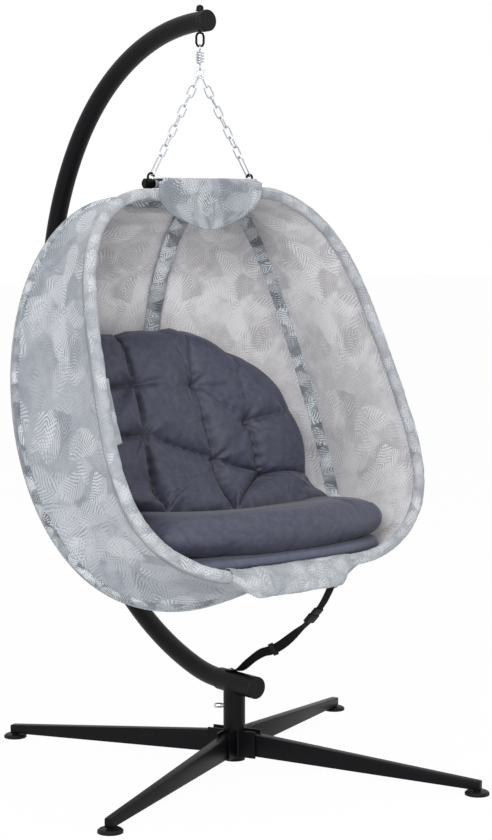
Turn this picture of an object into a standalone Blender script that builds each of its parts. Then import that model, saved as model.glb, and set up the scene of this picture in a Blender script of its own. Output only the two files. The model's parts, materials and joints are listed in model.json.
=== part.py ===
"""Hanging pod chair on a four-legged stand, as separate pieces at rest.

Metres, +Z up. The floor is z = 0 and the axis of the stand's post is the Z axis. The chair faces -Y,
and the stand's arm curves round behind it in the plane X = 0.
"""

import math
from collections import namedtuple

import bmesh
import bpy
from mathutils import Matrix, Vector
from mathutils.bvhtree import BVHTree

# Clearances
GAP = 0.0003            # between faces that rest on one another
TURN_GAP = 0.0004       # between pieces that turn on one another
SINK = 0.004            # how far shapes reach into one another where they are joined into one piece

# Legs, feet and hub
LEG_COUNT = 4
LEG_HEADING = math.radians(25.2)
FOOT_CIRCLE_RADIUS = 0.668
FOOT_RADIUS = 0.031
FOOT_THICKNESS = 0.009
FOOT_NECK_RADIUS = 0.009
LEG_OVERHANG = 0.010
LEG_ROOT_HEIGHT = 0.060
LEG_TIP_HEIGHT = 0.023
LEG_ROOT_UNDERSIDE = 0.031
LEG_TIP_UNDERSIDE = 0.012
LEG_ROOT_WIDTH = 0.028
LEG_TIP_WIDTH = 0.022
LEG_EDGE_ROUND = 0.0025
HUB_RADIUS = 0.0285
HUB_WALL = 0.0035
HUB_UNDERSIDE = 0.014
HUB_TOP = 0.172
HUB_FLOOR = 0.006
CHEEK_THICKNESS = 0.004
CHEEK_REACH = 0.068
CHEEK_MARGIN = 0.005
CLAMP_HEADING = math.radians(140.0)
CLAMP_HEIGHT = 0.157
CLAMP_SHANK_RADIUS = 0.005
CLAMP_HEAD_RADIUS = 0.0068
CLAMP_NECK = 0.006
CLAMP_HEAD_LENGTH = 0.019

# Tee and arm
STEM_DEPTH = 0.120
TEE_HEIGHT = 0.219
TEE_FRONT = 0.086
TEE_BACK = 0.056
TEE_WALL = 0.0032
TUBE_RADIUS = 0.0255
TUBE_WALL = 0.0020
TUBE_SIDES = 16
TUBE_BORE = (TUBE_RADIUS - TUBE_WALL) * math.cos(math.pi / TUBE_SIDES)
ARM_LOW_BENDS = ((0.393, 15.9), (0.856, 41.3))     # radius, degrees of turn
ARM_HIGH_BENDS = ((0.856, 67.1), (0.694, 56.3))
ARM_JOINT_STRAIGHT = 0.100
SPIGOT_LENGTH = 0.046
SPIGOT_WALL = 0.0025
CAP_FACE = 0.006
CAP_PLUG = 0.014
END_CAP_WALL = 0.0020
END_CAP_GRIP = 0.0155
BOLT_SETBACK = 0.012
BOLT_RADIUS = 0.004
BOLT_HEAD_RADIUS = 0.0068
BOLT_HEAD_HEIGHT = 0.0045
BOLT_LENGTH = 0.016

# Hanging eye, spring and ring
EYE_SETBACK = 0.0285
EYE_WIRE = 0.0030
EYE_HALF_WIDTH = 0.0095
EYE_LENGTH = 0.036
EYE_SHANK_RADIUS = 0.0050
NUT_RADIUS = 0.0095
NUT_HEIGHT = 0.011
NUT_DOME = 0.005
THREAD_STICK_OUT = 0.009
SPRING_WIRE = 0.0020
SPRING_RADIUS = 0.0095
SPRING_LOOP_RADIUS = 0.0085
SPRING_TURNS = 4.5
SPRING_PITCH = 0.0070
RING_WIRE = 0.0025
RING_RADIUS = 0.0125
CURL_POINTS = 9
LOOP_STEPS = 4          # straight steps round the end of an eye or a link

# Chains and hooks
LINK_WIRE = 0.0020
LINK_HALF_WIDTH = 0.0085
LINKS = 8
END_LINK_LENGTH = 0.062
FACING = Vector((-0.64, -0.77, 0.0)).normalized()  # the way that the eye and the ring face
HOOK_WIRE = 0.0030
HOOK_BEND = 0.0095
HOOK_OFFSET = 0.172
HOOK_ROOT = 0.004
COLLAR_LENGTH = 0.020
COLLAR_WALL = 0.0031

# Pod frame: half-hoops that turn on a pivot at the top bar and one at the bottom bar
POD_FORWARD = 0.2146    # middle of the pod in front of the hanging point
POD_DROP = 0.8328       # and below it
POD_TILT = math.radians(22.1)
Arch = namedtuple("Arch", "heading reach rise taper waist power")
RIM = Arch(0.0, 0.5833, 0.5408, -0.1034, 0.1863, 1.0)
RIB = Arch(math.radians(36.1), 0.602, 0.5543, -0.076, -0.012, 0.5)
SPINE = Arch(math.radians(90.0), 0.470, 0.5408, -0.25, 0.0, 1.2)
ARCH_STEPS = 22
ROD_RADIUS = 0.008
ROD_START = 0.095
LIFT_FADE = 0.25
TOP_PIVOT = 0.482
BOTTOM_PIVOT = -0.511
TAB_THICKNESS = 0.004
TAB_PITCH = TAB_THICKNESS + TURN_GAP
TAB_WIDTH = 0.014
TAB_NOSE = 0.010
PIN_RADIUS = 0.004
PIN_HEAD_RADIUS = 0.008
PIN_HEAD = 0.003
PLATE_THICKNESS = 0.004
PLATE_WIDTH = 0.020
PLATE_REACH = 0.010
BAR_RADIUS = 0.010
TOP_BAR_HALF_LENGTH = 0.185
BOTTOM_BAR_HALF_LENGTH = 0.105
BAR_RISE = 0.043        # bar above the top pivot, and below the bottom one
BAR_DEPTH = 0.015       # bar behind the top pivot, and in front of the bottom one

# Fabric
PANEL_THICKNESS = 0.002
CLOTH_GAP = 0.0010
PANEL_BOW = 0.018
PANEL_COLUMNS = 5
FLAP_HALF_WIDTH = 0.176
FLAP_SLEEVE_HALF = 0.155
FLAP_FORWARD = 0.047
FLAP_DROP = 0.128
FLAP_THICKNESS = 0.003
FLAP_SLEEVE_WALL = 0.0022
FLAP_FOLD = 0.005
FLAP_FOLDS = 3.5
FLAP_COLUMNS = 16
FLAP_ROWS = 7

# Seat pad and cushion
PAD_THICKNESS = 0.042
PAD_HALF_WIDTH = 0.370
PAD_HALF_DEPTH = 0.172
PAD_BEHIND = 0.186          # middle of the pad behind the bottom pivot
PAD_SLOPE = math.radians(1.0)
PAD_SQUARENESS = 3.0
PAD_UNDERSIDE = 0.90        # share of its width at its underside, and at its top
PAD_TOPSIDE = 0.985
CUSHION_THICKNESS = 0.105
CUSHION_EDGE = 0.034
CUSHION_HALF_WIDTH = 0.350
CUSHION_FRONT_TAPER = 0.14      # how far its front and its back draw in at their corners
CUSHION_BACK_TAPER = 0.76
CUSHION_END_ROUND = 0.26
CUSHION_LEFT_TAPER = 0.40       # the same at its upper left corner, which the shell holds up
CUSHION_LEFT_ROUND = 0.08
CUSHION_FRONT_INSET = 0.012     # front of the cushion behind the front of the pad
CUSHION_SEAT = 0.290
CUSHION_BEND = 0.140
CUSHION_BACK = 0.400
CUSHION_LEAN = math.radians(76.0)
CUSHION_DISH = 0.50             # how strongly the sides come forward, per metre
CUSHION_COLUMNS = 18
CUSHION_ROWS = 22
TUFT_DEPTH = 0.030
TUFT_SPREAD = 0.055
TUFTS = (                       # across, and along from the front edge
    (-0.175, 0.745), (0.010, 0.735), (0.175, 0.640),
    (-0.165, 0.590), (0.020, 0.545), (0.185, 0.470),
    (-0.160, 0.400), (0.030, 0.350), (0.195, 0.290),
)

# Tether strap
STRAP_WIDTH = 0.025
STRAP_THICKNESS = 0.002
STRAP_FOOT = 0.026              # where the strap's end lies on the tee, behind the post's axis
STRAP_LOOP_OFFSET = 0.070       # where it is looped round the bottom bar
# Across, along Y and above the strap's flat end on the tee
STRAP_LOW_ROUTE = ((0.002, -0.022, 0.0067), (0.007, -0.060, 0.0367), (0.014, -0.095, 0.0607))
STRAP_MIDDLE_ROUTE = ((0.033, -0.170, 0.3500), (0.043, -0.208, 0.3840))
STRAP_HIGH_ROUTE = ((0.066, -0.284, 0.4750),)
GLIDE_MIDDLE = (0.0225, -0.131, 0.3240)
GLIDE_WAY = (0.25, -0.88, 0.44)
GLIDE_LENGTH = 0.015
GLIDE_WIDTH = 0.034
GLIDE_THICKNESS = 0.006
BUCKLE_MIDDLE = (0.0550, -0.2500, 0.4260)
BUCKLE_WAY = (0.20, -0.62, 0.76)
SOCKET_LENGTH = 0.030
PLUG_LENGTH = 0.021
BUCKLE_WIDTH = 0.034
BUCKLE_THICKNESS = 0.011

Finish = namedtuple("Finish", "colour roughness metallic")
BLACK_STEEL = Finish((0.012, 0.011, 0.013), 0.42, 0.0)
BLACK_PLASTIC = Finish((0.040, 0.039, 0.042), 0.55, 0.0)
ZINC = Finish((0.62, 0.63, 0.64), 0.28, 1.0)
WEBBING = Finish((0.010, 0.010, 0.011), 0.85, 0.0)
SHELL_CLOTH = Finish((0.50, 0.52, 0.54), 0.90, 0.0)
SLATE_CLOTH = Finish((0.080, 0.086, 0.112), 0.80, 0.0)


# Scene helpers

def clear_scene():
    """Remove what the scene holds."""
    for thing in list(bpy.data.objects):
        bpy.data.objects.remove(thing, do_unlink=True)


def collection(name):
    """A collection of this name in the scene."""
    made = bpy.data.collections.new(name)
    bpy.context.scene.collection.children.link(made)
    return made


def dress(piece, finish):
    """Give a piece its own material and move it to the collection of pieces."""
    material = bpy.data.materials.new(piece.name + "_finish")
    material.use_nodes = True
    shader = material.node_tree.nodes["Principled BSDF"]
    shader.inputs["Base Color"].default_value = (*finish.colour, 1.0)
    shader.inputs["Roughness"].default_value = finish.roughness
    shader.inputs["Metallic"].default_value = finish.metallic
    piece.data.materials.clear()
    piece.data.materials.append(material)
    for holder in list(piece.users_collection):
        holder.objects.unlink(piece)
    PIECES.objects.link(piece)
    if piece.type == "MESH":
        piece.data.shade_smooth()
        piece.data.set_sharp_from_angle(angle=math.radians(35.0))
    return piece


def mesh_object(name, form):
    """An object from a bmesh, which is used up."""
    mesh = bpy.data.meshes.new(name)
    bmesh.ops.recalc_face_normals(form, faces=form.faces[:])
    form.to_mesh(mesh)
    form.free()
    made = bpy.data.objects.new(name, mesh)
    HELPERS.objects.link(made)
    return made


def box(name, size, frame):
    """A block of these three sizes, centred in a frame."""
    form = bmesh.new()
    bmesh.ops.create_cube(form, size=1.0)
    bmesh.ops.scale(form, vec=size, verts=form.verts[:])
    bmesh.ops.transform(form, matrix=frame, verts=form.verts[:])
    return mesh_object(name, form)


def rod(name, start, end, radius, segments=24):
    """A straight round rod between two points."""
    axis = end - start
    form = bmesh.new()
    size = axis.length
    bmesh.ops.create_cone(form, cap_ends=True, segments=segments, radius1=radius, radius2=radius, depth=size)
    frame = Matrix.Translation((start + end) / 2) @ axis.to_track_quat("Z", "Y").to_matrix().to_4x4()
    bmesh.ops.transform(form, matrix=frame, verts=form.verts[:])
    return mesh_object(name, form)


def turned(name, profile, frame, steps=28):
    """A turned shape: (radius, height) points that run down the outer side, about the frame's Z axis.

    The profile starts and ends on the axis, or else it is a closed loop.
    """
    form = bmesh.new()
    points = [form.verts.new((radius, 0.0, height)) for radius, height in profile]
    for a, b in zip(points, points[1:]):
        form.edges.new((a, b))
    if profile[0][0] > 0.0:
        form.edges.new((points[-1], points[0]))
    mesh = bpy.data.meshes.new(name)
    form.to_mesh(mesh)
    form.free()
    made = bpy.data.objects.new(name, mesh)
    HELPERS.objects.link(made)
    made.matrix_world = frame
    screw = made.modifiers.new("turn", "SCREW")
    screw.axis = "Z"
    screw.steps = steps
    screw.render_steps = steps
    screw.use_merge_vertices = True
    screw.merge_threshold = 0.0001
    return made


def wire(name, points, radius, resolution=1, closed=False, caps=True):
    """A round wire or tube along points."""
    line = bpy.data.curves.new(name, "CURVE")
    line.dimensions = "3D"
    line.bevel_depth = radius
    line.bevel_resolution = resolution
    line.use_fill_caps = caps and not closed
    spline = line.splines.new("POLY")
    spline.points.add(len(points) - 1)
    for place, point in zip(spline.points, points):
        place.co = (*point, 1.0)
    spline.use_cyclic_u = closed
    made = bpy.data.objects.new(name, line)
    HELPERS.objects.link(made)
    return made


def as_mesh(thing):
    """A curve or a modified object made a plain mesh object, in place."""
    bpy.context.view_layer.update()
    graph = bpy.context.evaluated_depsgraph_get()
    mesh = bpy.data.meshes.new_from_object(thing.evaluated_get(graph))
    form = bmesh.new()
    form.from_mesh(mesh)
    bmesh.ops.transform(form, matrix=thing.matrix_world, verts=form.verts[:])
    bmesh.ops.remove_doubles(form, verts=form.verts[:], dist=0.00001)
    name = thing.name
    bpy.data.objects.remove(thing, do_unlink=True)
    bpy.data.meshes.remove(mesh)
    return mesh_object(name, form)


def combine(piece, tools, operation):
    """Join tools to a piece, or cut them out of it."""
    for tool in tools:
        tool.hide_render = True
        tool.display_type = "WIRE"
        step = piece.modifiers.new(operation.lower(), "BOOLEAN")
        step.operation = operation
        step.solver = "EXACT"
        step.object = tool
    return piece


def round_edges(piece, width, segments=2):
    """Round the sharp edges of a piece."""
    bevel = piece.modifiers.new("edges", "BEVEL")
    bevel.width = width
    bevel.segments = segments
    bevel.limit_method = "ANGLE"
    return piece


def stand_frame(origin, z_axis, x_hint):
    """A frame at a point, with this Z axis and an X axis near the hint."""
    z = z_axis.normalized()
    x = (x_hint - z * x_hint.dot(z)).normalized()
    y = z.cross(x)
    turn = Matrix((x, y, z)).transposed().to_4x4()
    return Matrix.Translation(origin) @ turn


def about_z(angle):
    """A turn about the post's axis."""
    return Matrix.Rotation(angle, 4, "Z")


X_AXIS = Vector((1.0, 0.0, 0.0))
Y_AXIS = Vector((0.0, 1.0, 0.0))
Z_AXIS = Vector((0.0, 0.0, 1.0))


# Stand

def leg(index):
    """One tapered leg, from the hub out to its foot."""
    form = bmesh.new()
    bmesh.ops.create_cube(form, size=1.0)
    start = HUB_RADIUS + GAP
    end = FOOT_CIRCLE_RADIUS + LEG_OVERHANG
    for corner in form.verts:
        root = corner.co.x < 0.0
        width = LEG_ROOT_WIDTH if root else LEG_TIP_WIDTH
        height = LEG_ROOT_HEIGHT if root else LEG_TIP_HEIGHT
        underside = LEG_ROOT_UNDERSIDE if root else LEG_TIP_UNDERSIDE
        corner.co = (start if root else end, corner.co.y * width, underside + (corner.co.z + 0.5) * height)
    piece = mesh_object(f"leg_{index + 1}", form)
    piece.matrix_world = about_z(LEG_HEADING + index * math.tau / LEG_COUNT)
    round_edges(piece, LEG_EDGE_ROUND)
    return dress(piece, BLACK_STEEL)


def foot(index):
    """A round glide under a leg's tip, with a neck up to the leg."""
    neck_top = LEG_TIP_UNDERSIDE - GAP
    profile = (
        (0.0, neck_top), (FOOT_NECK_RADIUS, neck_top), (FOOT_NECK_RADIUS, FOOT_THICKNESS),
        (FOOT_RADIUS * 0.86, FOOT_THICKNESS), (FOOT_RADIUS, FOOT_THICKNESS * 0.6),
        (FOOT_RADIUS, 0.0), (0.0, 0.0),
    )
    turn = about_z(LEG_HEADING + index * math.tau / LEG_COUNT)
    frame = turn @ Matrix.Translation((FOOT_CIRCLE_RADIUS, 0.0, 0.0))
    return dress(turned(f"foot_{index + 1}", profile, frame, 20), BLACK_PLASTIC)


def hub():
    """The socket that the post turns in, with a pair of cheek plates welded on for each leg."""
    bore = HUB_RADIUS - HUB_WALL
    floor = HUB_UNDERSIDE + HUB_FLOOR
    profile = (
        (0.0, floor), (bore, floor), (bore, HUB_TOP), (HUB_RADIUS, HUB_TOP),
        (HUB_RADIUS, HUB_UNDERSIDE), (0.0, HUB_UNDERSIDE),
    )
    piece = as_mesh(turned("hub", profile, Matrix.Identity(4)))
    cheeks = []
    low = LEG_ROOT_UNDERSIDE - CHEEK_MARGIN
    high = LEG_ROOT_UNDERSIDE + LEG_ROOT_HEIGHT + CHEEK_MARGIN
    inner = bore + HUB_WALL / 2
    aside = LEG_ROOT_WIDTH / 2 + GAP + CHEEK_THICKNESS / 2
    for index in range(LEG_COUNT):
        turn = about_z(LEG_HEADING + index * math.tau / LEG_COUNT)
        for side in (-1, 1):
            root = math.sqrt(inner ** 2 - aside ** 2)
            middle = Matrix.Translation(((root + CHEEK_REACH) / 2, side * aside, (low + high) / 2))
            size = (CHEEK_REACH - root, CHEEK_THICKNESS, high - low)
            cheeks.append(box(f"cheek_{index}_{side}", size, turn @ middle))
    combine(piece, cheeks, "UNION")
    out = Vector((math.cos(CLAMP_HEADING), math.sin(CLAMP_HEADING), 0.0))
    level = Vector((0.0, 0.0, CLAMP_HEIGHT))
    hole_radius = CLAMP_SHANK_RADIUS + TURN_GAP
    hole = rod("clamp_hole", level + out * bore / 2, level + out * HUB_RADIUS * 2, hole_radius)
    combine(piece, [hole], "DIFFERENCE")
    return dress(piece, BLACK_STEEL)


def clamp_screw():
    """The screw that holds the post from turning, with a rounded head."""
    tip = HUB_RADIUS - HUB_WALL
    seat = HUB_RADIUS + GAP
    neck = seat + CLAMP_NECK
    end = neck + CLAMP_HEAD_LENGTH
    small = CLAMP_HEAD_RADIUS * 0.6
    profile = (
        (0.0, end), (small, end - CLAMP_HEAD_RADIUS * 0.2),
        (CLAMP_HEAD_RADIUS, end - CLAMP_HEAD_RADIUS * 0.8),
        (CLAMP_HEAD_RADIUS, neck), (CLAMP_SHANK_RADIUS, seat), (CLAMP_SHANK_RADIUS, tip), (0.0, tip),
    )
    out = Vector((math.cos(CLAMP_HEADING), math.sin(CLAMP_HEADING), 0.0))
    frame = stand_frame(Vector((0.0, 0.0, CLAMP_HEIGHT)), out, Z_AXIS)
    return dress(turned("clamp_screw", profile, frame, 20), ZINC)


def tee():
    """The post's stem with a shoulder that rests on the hub, and a sleeve across its top for the arm."""
    stem = HUB_RADIUS - HUB_WALL - TURN_GAP
    shoulder = HUB_TOP + GAP
    profile = (
        (0.0, TEE_HEIGHT), (HUB_RADIUS, TEE_HEIGHT), (HUB_RADIUS, shoulder), (stem, shoulder),
        (stem, shoulder - STEM_DEPTH), (0.0, shoulder - STEM_DEPTH),
    )
    piece = as_mesh(turned("tee", profile, Matrix.Identity(4)))
    front = Vector((0.0, -TEE_FRONT, TEE_HEIGHT))
    back = Vector((0.0, TEE_BACK, TEE_HEIGHT))
    bore = TUBE_RADIUS + GAP
    past = Y_AXIS * SINK
    combine(piece, [rod("tee_sleeve", front, back, bore + TEE_WALL, 32)], "UNION")
    combine(piece, [rod("tee_bore", front - past, back + past, bore, 32)], "DIFFERENCE")
    combine(piece, [bolt_hole("tee_bolt_hole")], "DIFFERENCE")
    return dress(piece, BLACK_STEEL)


def bolt_hole(name):
    """Cutter for the bolt that holds the arm in the tee."""
    middle = Vector((0.0, BOLT_SETBACK, TEE_HEIGHT))
    return rod(name, middle + Z_AXIS * TUBE_RADIUS / 2, middle + Z_AXIS * TUBE_RADIUS * 2, BOLT_RADIUS + GAP)


def sleeve_top():
    """Height of the top of the tee's sleeve."""
    return TEE_HEIGHT + TUBE_RADIUS + GAP + TEE_WALL


def tee_bolt():
    """The bolt through the strap's end, the tee's sleeve and the arm."""
    seat = sleeve_top() + 2 * GAP + STRAP_THICKNESS
    top = seat + BOLT_HEAD_HEIGHT
    profile = (
        (0.0, top), (BOLT_HEAD_RADIUS * 0.6, top - 0.0005),
        (BOLT_HEAD_RADIUS, seat + BOLT_HEAD_HEIGHT * 0.4), (BOLT_HEAD_RADIUS, seat),
        (BOLT_RADIUS, seat), (BOLT_RADIUS, seat - BOLT_LENGTH), (0.0, seat - BOLT_LENGTH),
    )
    frame = Matrix.Translation((0.0, BOLT_SETBACK, 0.0))
    return dress(turned("tee_bolt", profile, frame, 20), ZINC)


def tee_cap():
    """The plug that closes the tee's front."""
    plug = TUBE_BORE - GAP
    flange = TUBE_RADIUS + GAP + TEE_WALL
    profile = (
        (0.0, CAP_FACE), (flange - 0.0015, CAP_FACE), (flange, CAP_FACE - 0.0015), (flange, GAP),
        (plug, GAP), (plug, -CAP_PLUG), (0.0, -CAP_PLUG),
    )
    frame = stand_frame(Vector((0.0, -TEE_FRONT, TEE_HEIGHT)), -Y_AXIS, X_AXIS)
    return dress(turned("tee_cap", profile, frame), BLACK_PLASTIC)


def bend(point, heading, bends, step=math.radians(9.0)):
    """Points along arcs that follow one another in the plane X = 0, after the first point.

    Returns the points, and the heading at the end, from +Y towards +Z.
    """
    points = []
    for radius, degrees in bends:
        sweep = math.radians(degrees)
        centre = point + Vector((0.0, -math.sin(heading), math.cos(heading))) * radius
        count = math.ceil(sweep / step)
        for index in range(1, count + 1):
            angle = heading + sweep * index / count
            points.append(centre + Vector((0.0, math.sin(angle), -math.cos(angle))) * radius)
        point = points[-1]
        heading += sweep
    return points, heading


def arm_line():
    """The arm's centre line: its lower and upper points, and the direction at the joint between them."""
    low = [Vector((0.0, -TEE_FRONT, TEE_HEIGHT)), Vector((0.0, TEE_BACK, TEE_HEIGHT))]
    more, heading = bend(low[-1], 0.0, ARM_LOW_BENDS)
    along = Vector((0.0, math.cos(heading), math.sin(heading)))
    low += more
    low.append(low[-1] + along * ARM_JOINT_STRAIGHT / 2)
    high = [low[-1] + along * GAP, low[-1] + along * ARM_JOINT_STRAIGHT / 2]
    more, _ = bend(high[-1], heading, ARM_HIGH_BENDS)
    return low, high + more, along


def hollow_tube(name, points):
    """An open-ended tube of the arm's size."""
    piece = as_mesh(wire(name, points, TUBE_RADIUS, TUBE_SIDES // 2 - 2, caps=False))
    wall = piece.modifiers.new("wall", "SOLIDIFY")
    wall.thickness = TUBE_WALL
    wall.offset = -1.0
    return piece


def arm_lower(low, along):
    """The lower arm tube, with a reduced spigot at its upper end."""
    piece = as_mesh(hollow_tube("arm_lower", low))
    outer = TUBE_BORE - GAP
    inner = outer - SPIGOT_WALL
    held = TUBE_RADIUS - TUBE_WALL / 2
    profile = (
        (inner, SPIGOT_LENGTH), (outer, SPIGOT_LENGTH), (outer, -SINK), (held, -SINK - 0.001),
        (held, -SPIGOT_LENGTH / 2), (inner, -SPIGOT_LENGTH / 2),
    )
    spigot = as_mesh(turned("spigot", profile, stand_frame(low[-1], along, X_AXIS), 24))
    combine(piece, [spigot], "UNION")
    combine(piece, [bolt_hole("arm_bolt_hole")], "DIFFERENCE")
    return dress(piece, BLACK_STEEL)


def arm_upper(high):
    """The upper arm tube, drilled for the eye near its end."""
    piece = as_mesh(hollow_tube("arm_upper", high))
    reach = Z_AXIS * TUBE_RADIUS * 2
    hole = rod("eye_hole", EYE - reach, EYE + reach, EYE_SHANK_RADIUS + TURN_GAP)
    combine(piece, [hole], "DIFFERENCE")
    return dress(piece, BLACK_STEEL)


def arm_end_cap(high):
    """The cap that slips over the end of the arm."""
    inner = TUBE_RADIUS + GAP
    outer = inner + END_CAP_WALL
    profile = (
        (0.0, CAP_FACE), (outer - 0.002, CAP_FACE), (outer, CAP_FACE - 0.002), (outer, -END_CAP_GRIP),
        (inner, -END_CAP_GRIP), (inner, GAP), (0.0, GAP),
    )
    frame = stand_frame(high[-1], high[-1] - high[-2], X_AXIS)
    return dress(turned("arm_end_cap", profile, frame), BLACK_PLASTIC)


# Suspension

def stadium(centre, across, along, half_width, length):
    """Points round a long loop with round ends. Length is between the ends' outermost points."""
    points = []
    straight = length / 2 - half_width
    for end in (1, -1):
        for index in range(LOOP_STEPS + 1):
            angle = math.pi * index / LOOP_STEPS
            offset = across * (end * math.cos(angle)) + along * (end * math.sin(angle))
            points.append(centre + along * (end * straight) + offset * half_width)
    return points


def eye_bolt():
    """A long eye below the arm, on a shank that comes out on top."""
    across = FACING.cross(Z_AXIS)
    top = EYE.z - TUBE_RADIUS - GAP - EYE_WIRE
    centre = Vector((0.0, EYE.y, top - EYE_LENGTH / 2))
    loop = stadium(centre, across, Z_AXIS, EYE_HALF_WIDTH, EYE_LENGTH)
    piece = as_mesh(wire("eye_bolt", loop, EYE_WIRE, 2, closed=True))
    tip = Vector((0.0, EYE.y, EYE.z + TUBE_RADIUS + THREAD_STICK_OUT))
    foot_of_shank = Vector((0.0, EYE.y, top - EYE_WIRE / 2))
    combine(piece, [rod("eye_shank", foot_of_shank, tip, EYE_SHANK_RADIUS, 20)], "UNION")
    return dress(piece, BLACK_STEEL)


def eye_nut():
    """The cap nut on the eye's shank."""
    seat = EYE.z + TUBE_RADIUS + 2 * GAP
    top = seat + NUT_HEIGHT
    hole = EYE_SHANK_RADIUS + GAP
    hole_top = EYE.z + TUBE_RADIUS + THREAD_STICK_OUT + GAP
    profile = (
        (0.0, top + NUT_DOME), (NUT_RADIUS * 0.55, top + NUT_DOME * 0.8),
        (NUT_RADIUS * 0.9, top + NUT_DOME * 0.15),
        (NUT_RADIUS, top - 0.003), (NUT_RADIUS, seat + 0.003), (NUT_RADIUS * 1.18, seat + 0.0025),
        (NUT_RADIUS * 1.18, seat), (hole, seat), (hole, hole_top), (0.0, hole_top),
    )
    return dress(turned("eye_nut", profile, Matrix.Translation((0.0, EYE.y, 0.0)), 18), BLACK_PLASTIC)


def spring_line():
    """Points down the spring: a hook loop, the coils, and a hook loop."""
    points = []
    loop = SPRING_LOOP_RADIUS
    high = Vector((0.0, HANG.y, HANG.z + EYE_WIRE + SPRING_WIRE + GAP - loop))
    steps = 10
    for index in range(steps + 1):
        angle = math.radians(-40.0 + 310.0 * index / steps)
        points.append(high + FACING * (loop * math.cos(angle)) + Z_AXIS * (loop * math.sin(angle)))
    coil_top = points[-1]
    count = round(SPRING_TURNS * CURL_POINTS)
    side = FACING.cross(Z_AXIS)
    for index in range(1, count + 1):
        share = index / count
        turn = math.tau * SPRING_TURNS * share
        ends = min(1.0, 2.2 * SPRING_TURNS * min(share, 1.0 - share))
        radius = SPRING_RADIUS * math.sin(ends * math.pi / 2)
        around = FACING * math.cos(turn) + side * math.sin(turn)
        points.append(coil_top + around * radius - Z_AXIS * (SPRING_PITCH * SPRING_TURNS * share))
    low = points[-1] - Z_AXIS * loop
    for index in range(1, steps + 1):
        angle = math.radians(90.0 + 310.0 * index / steps)
        points.append(low + FACING * (loop * math.cos(angle)) + Z_AXIS * (loop * math.sin(angle)))
    return points


def spring_self_gap(points):
    """Least gap between stretches of the spring's wire that aren't next to one another along it."""
    near = 6
    pairs = ((a, b) for a in range(len(points)) for b in range(a + near, len(points)))
    return min((points[a] - points[b]).length for a, b in pairs) - 2 * SPRING_WIRE


def hang_spring():
    """The spring that the chair bounces on, as one unbroken wire."""
    points = spring_line()
    print(f"hang_spring: least gap to itself {spring_self_gap(points) * 1000:.2f} mm")
    return dress(wire("hang_spring", points, SPRING_WIRE), ZINC)


def ring_middle():
    """Centre of the ring that hangs on the spring's lower loop."""
    lowest = min(point.z for point in spring_line())
    return Vector((0.0, HANG.y, lowest + SPRING_WIRE + RING_WIRE + GAP - RING_RADIUS))


def hang_ring():
    """The ring that both chains hang on."""
    across = FACING.cross(Z_AXIS)
    turns = [math.tau * index / 16 for index in range(16)]
    points = [ring_middle() + (across * math.cos(a) + Z_AXIS * math.sin(a)) * RING_RADIUS for a in turns]
    return dress(wire("hang_ring", points, RING_WIRE, closed=True), ZINC)


def hook_centre(side):
    """Centre of a hook's bend, above the inner side of its collar."""
    base = top_bar_point(side * (HOOK_OFFSET - HOOK_BEND))
    return base + Z_AXIS * (BAR_RADIUS + COLLAR_WALL + HOOK_ROOT)


def hook(side, name):
    """A collar on the end of the top bar, with an open hook for the chain."""
    middle = top_bar_point(side * HOOK_OFFSET)
    inner = BAR_RADIUS + GAP
    outer = BAR_RADIUS + COLLAR_WALL
    half = COLLAR_LENGTH / 2
    ring = ((inner, half), (outer, half), (outer, -half), (inner, -half))
    piece = as_mesh(turned(f"{name}_hook", ring, stand_frame(middle, X_AXIS, Z_AXIS), 20))
    centre = hook_centre(side)
    points = [middle + Z_AXIS * (BAR_RADIUS + COLLAR_WALL / 2)]
    for index in range(9):
        angle = math.pi * index / 8
        points.append(centre + (X_AXIS * (side * math.cos(angle)) + Z_AXIS * math.sin(angle)) * HOOK_BEND)
    combine(piece, [as_mesh(wire(f"{name}_hook_wire", points, HOOK_WIRE, 2))], "UNION")
    return dress(piece, BLACK_STEEL)


def pull_point(middle, normal, radius, other):
    """The point of a round wire, with this middle and normal, that another point pulls on."""
    pull = other - middle
    pull -= normal * pull.dot(normal)
    return middle + pull.normalized() * radius


def chain(side, name):
    """The links from the ring to one hook, turned a quarter from link to link, with a slow twist."""
    start = pull_point(ring_middle(), FACING, RING_RADIUS, hook_centre(side))
    end = pull_point(hook_centre(side), Y_AXIS, HOOK_BEND, ring_middle())
    along = (end - start).normalized()
    first = -(RING_WIRE + LINK_WIRE + GAP)
    last = (end - start).length + HOOK_WIRE + LINK_WIRE + GAP
    nest = 2 * LINK_WIRE + GAP
    length = (last - first - END_LINK_LENGTH + LINKS * nest) / LINKS
    for index in range(LINKS + 1):
        this = length if index < LINKS else END_LINK_LENGTH
        middle = start + along * (first + this / 2)
        facing = FACING.lerp(-Y_AXIS, index / LINKS)
        broad = along.cross(facing).normalized()
        across = broad.cross(along) if index % 2 == 0 else broad
        loop = stadium(middle, across, along, LINK_HALF_WIDTH, this)
        label = f"{name}_chain_link_{index + 1}" if index < LINKS else f"{name}_chain_end_link"
        dress(wire(label, loop, LINK_WIRE, closed=True), ZINC)
        first += this - nest


# Pod frame

def pod(across, along, depth):
    """A point of the pod: across, along its tilted axis from its middle, and behind its mouth's plane."""
    lean = math.sin(POD_TILT)
    rise = math.cos(POD_TILT)
    return POD_MIDDLE + Vector((across, along * lean + depth * rise, along * rise - depth * lean))


def top_bar_point(across):
    """A point on the top bar's axis."""
    return pod(across, TOP_PIVOT + BAR_RISE, BAR_DEPTH)


def bottom_bar_point(across):
    """A point on the bottom bar's axis."""
    return pod(across, BOTTOM_PIVOT - BAR_RISE, -BAR_DEPTH)


def arch_radius(arch, turn):
    """Distance of a half-hoop from the pod's axis, at a turn from 0 at its top to pi at its bottom."""
    wave = 1.0 + arch.taper * math.cos(turn) + arch.waist * math.cos(2.0 * turn)
    return arch.reach * math.sin(turn) ** arch.power * wave


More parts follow.
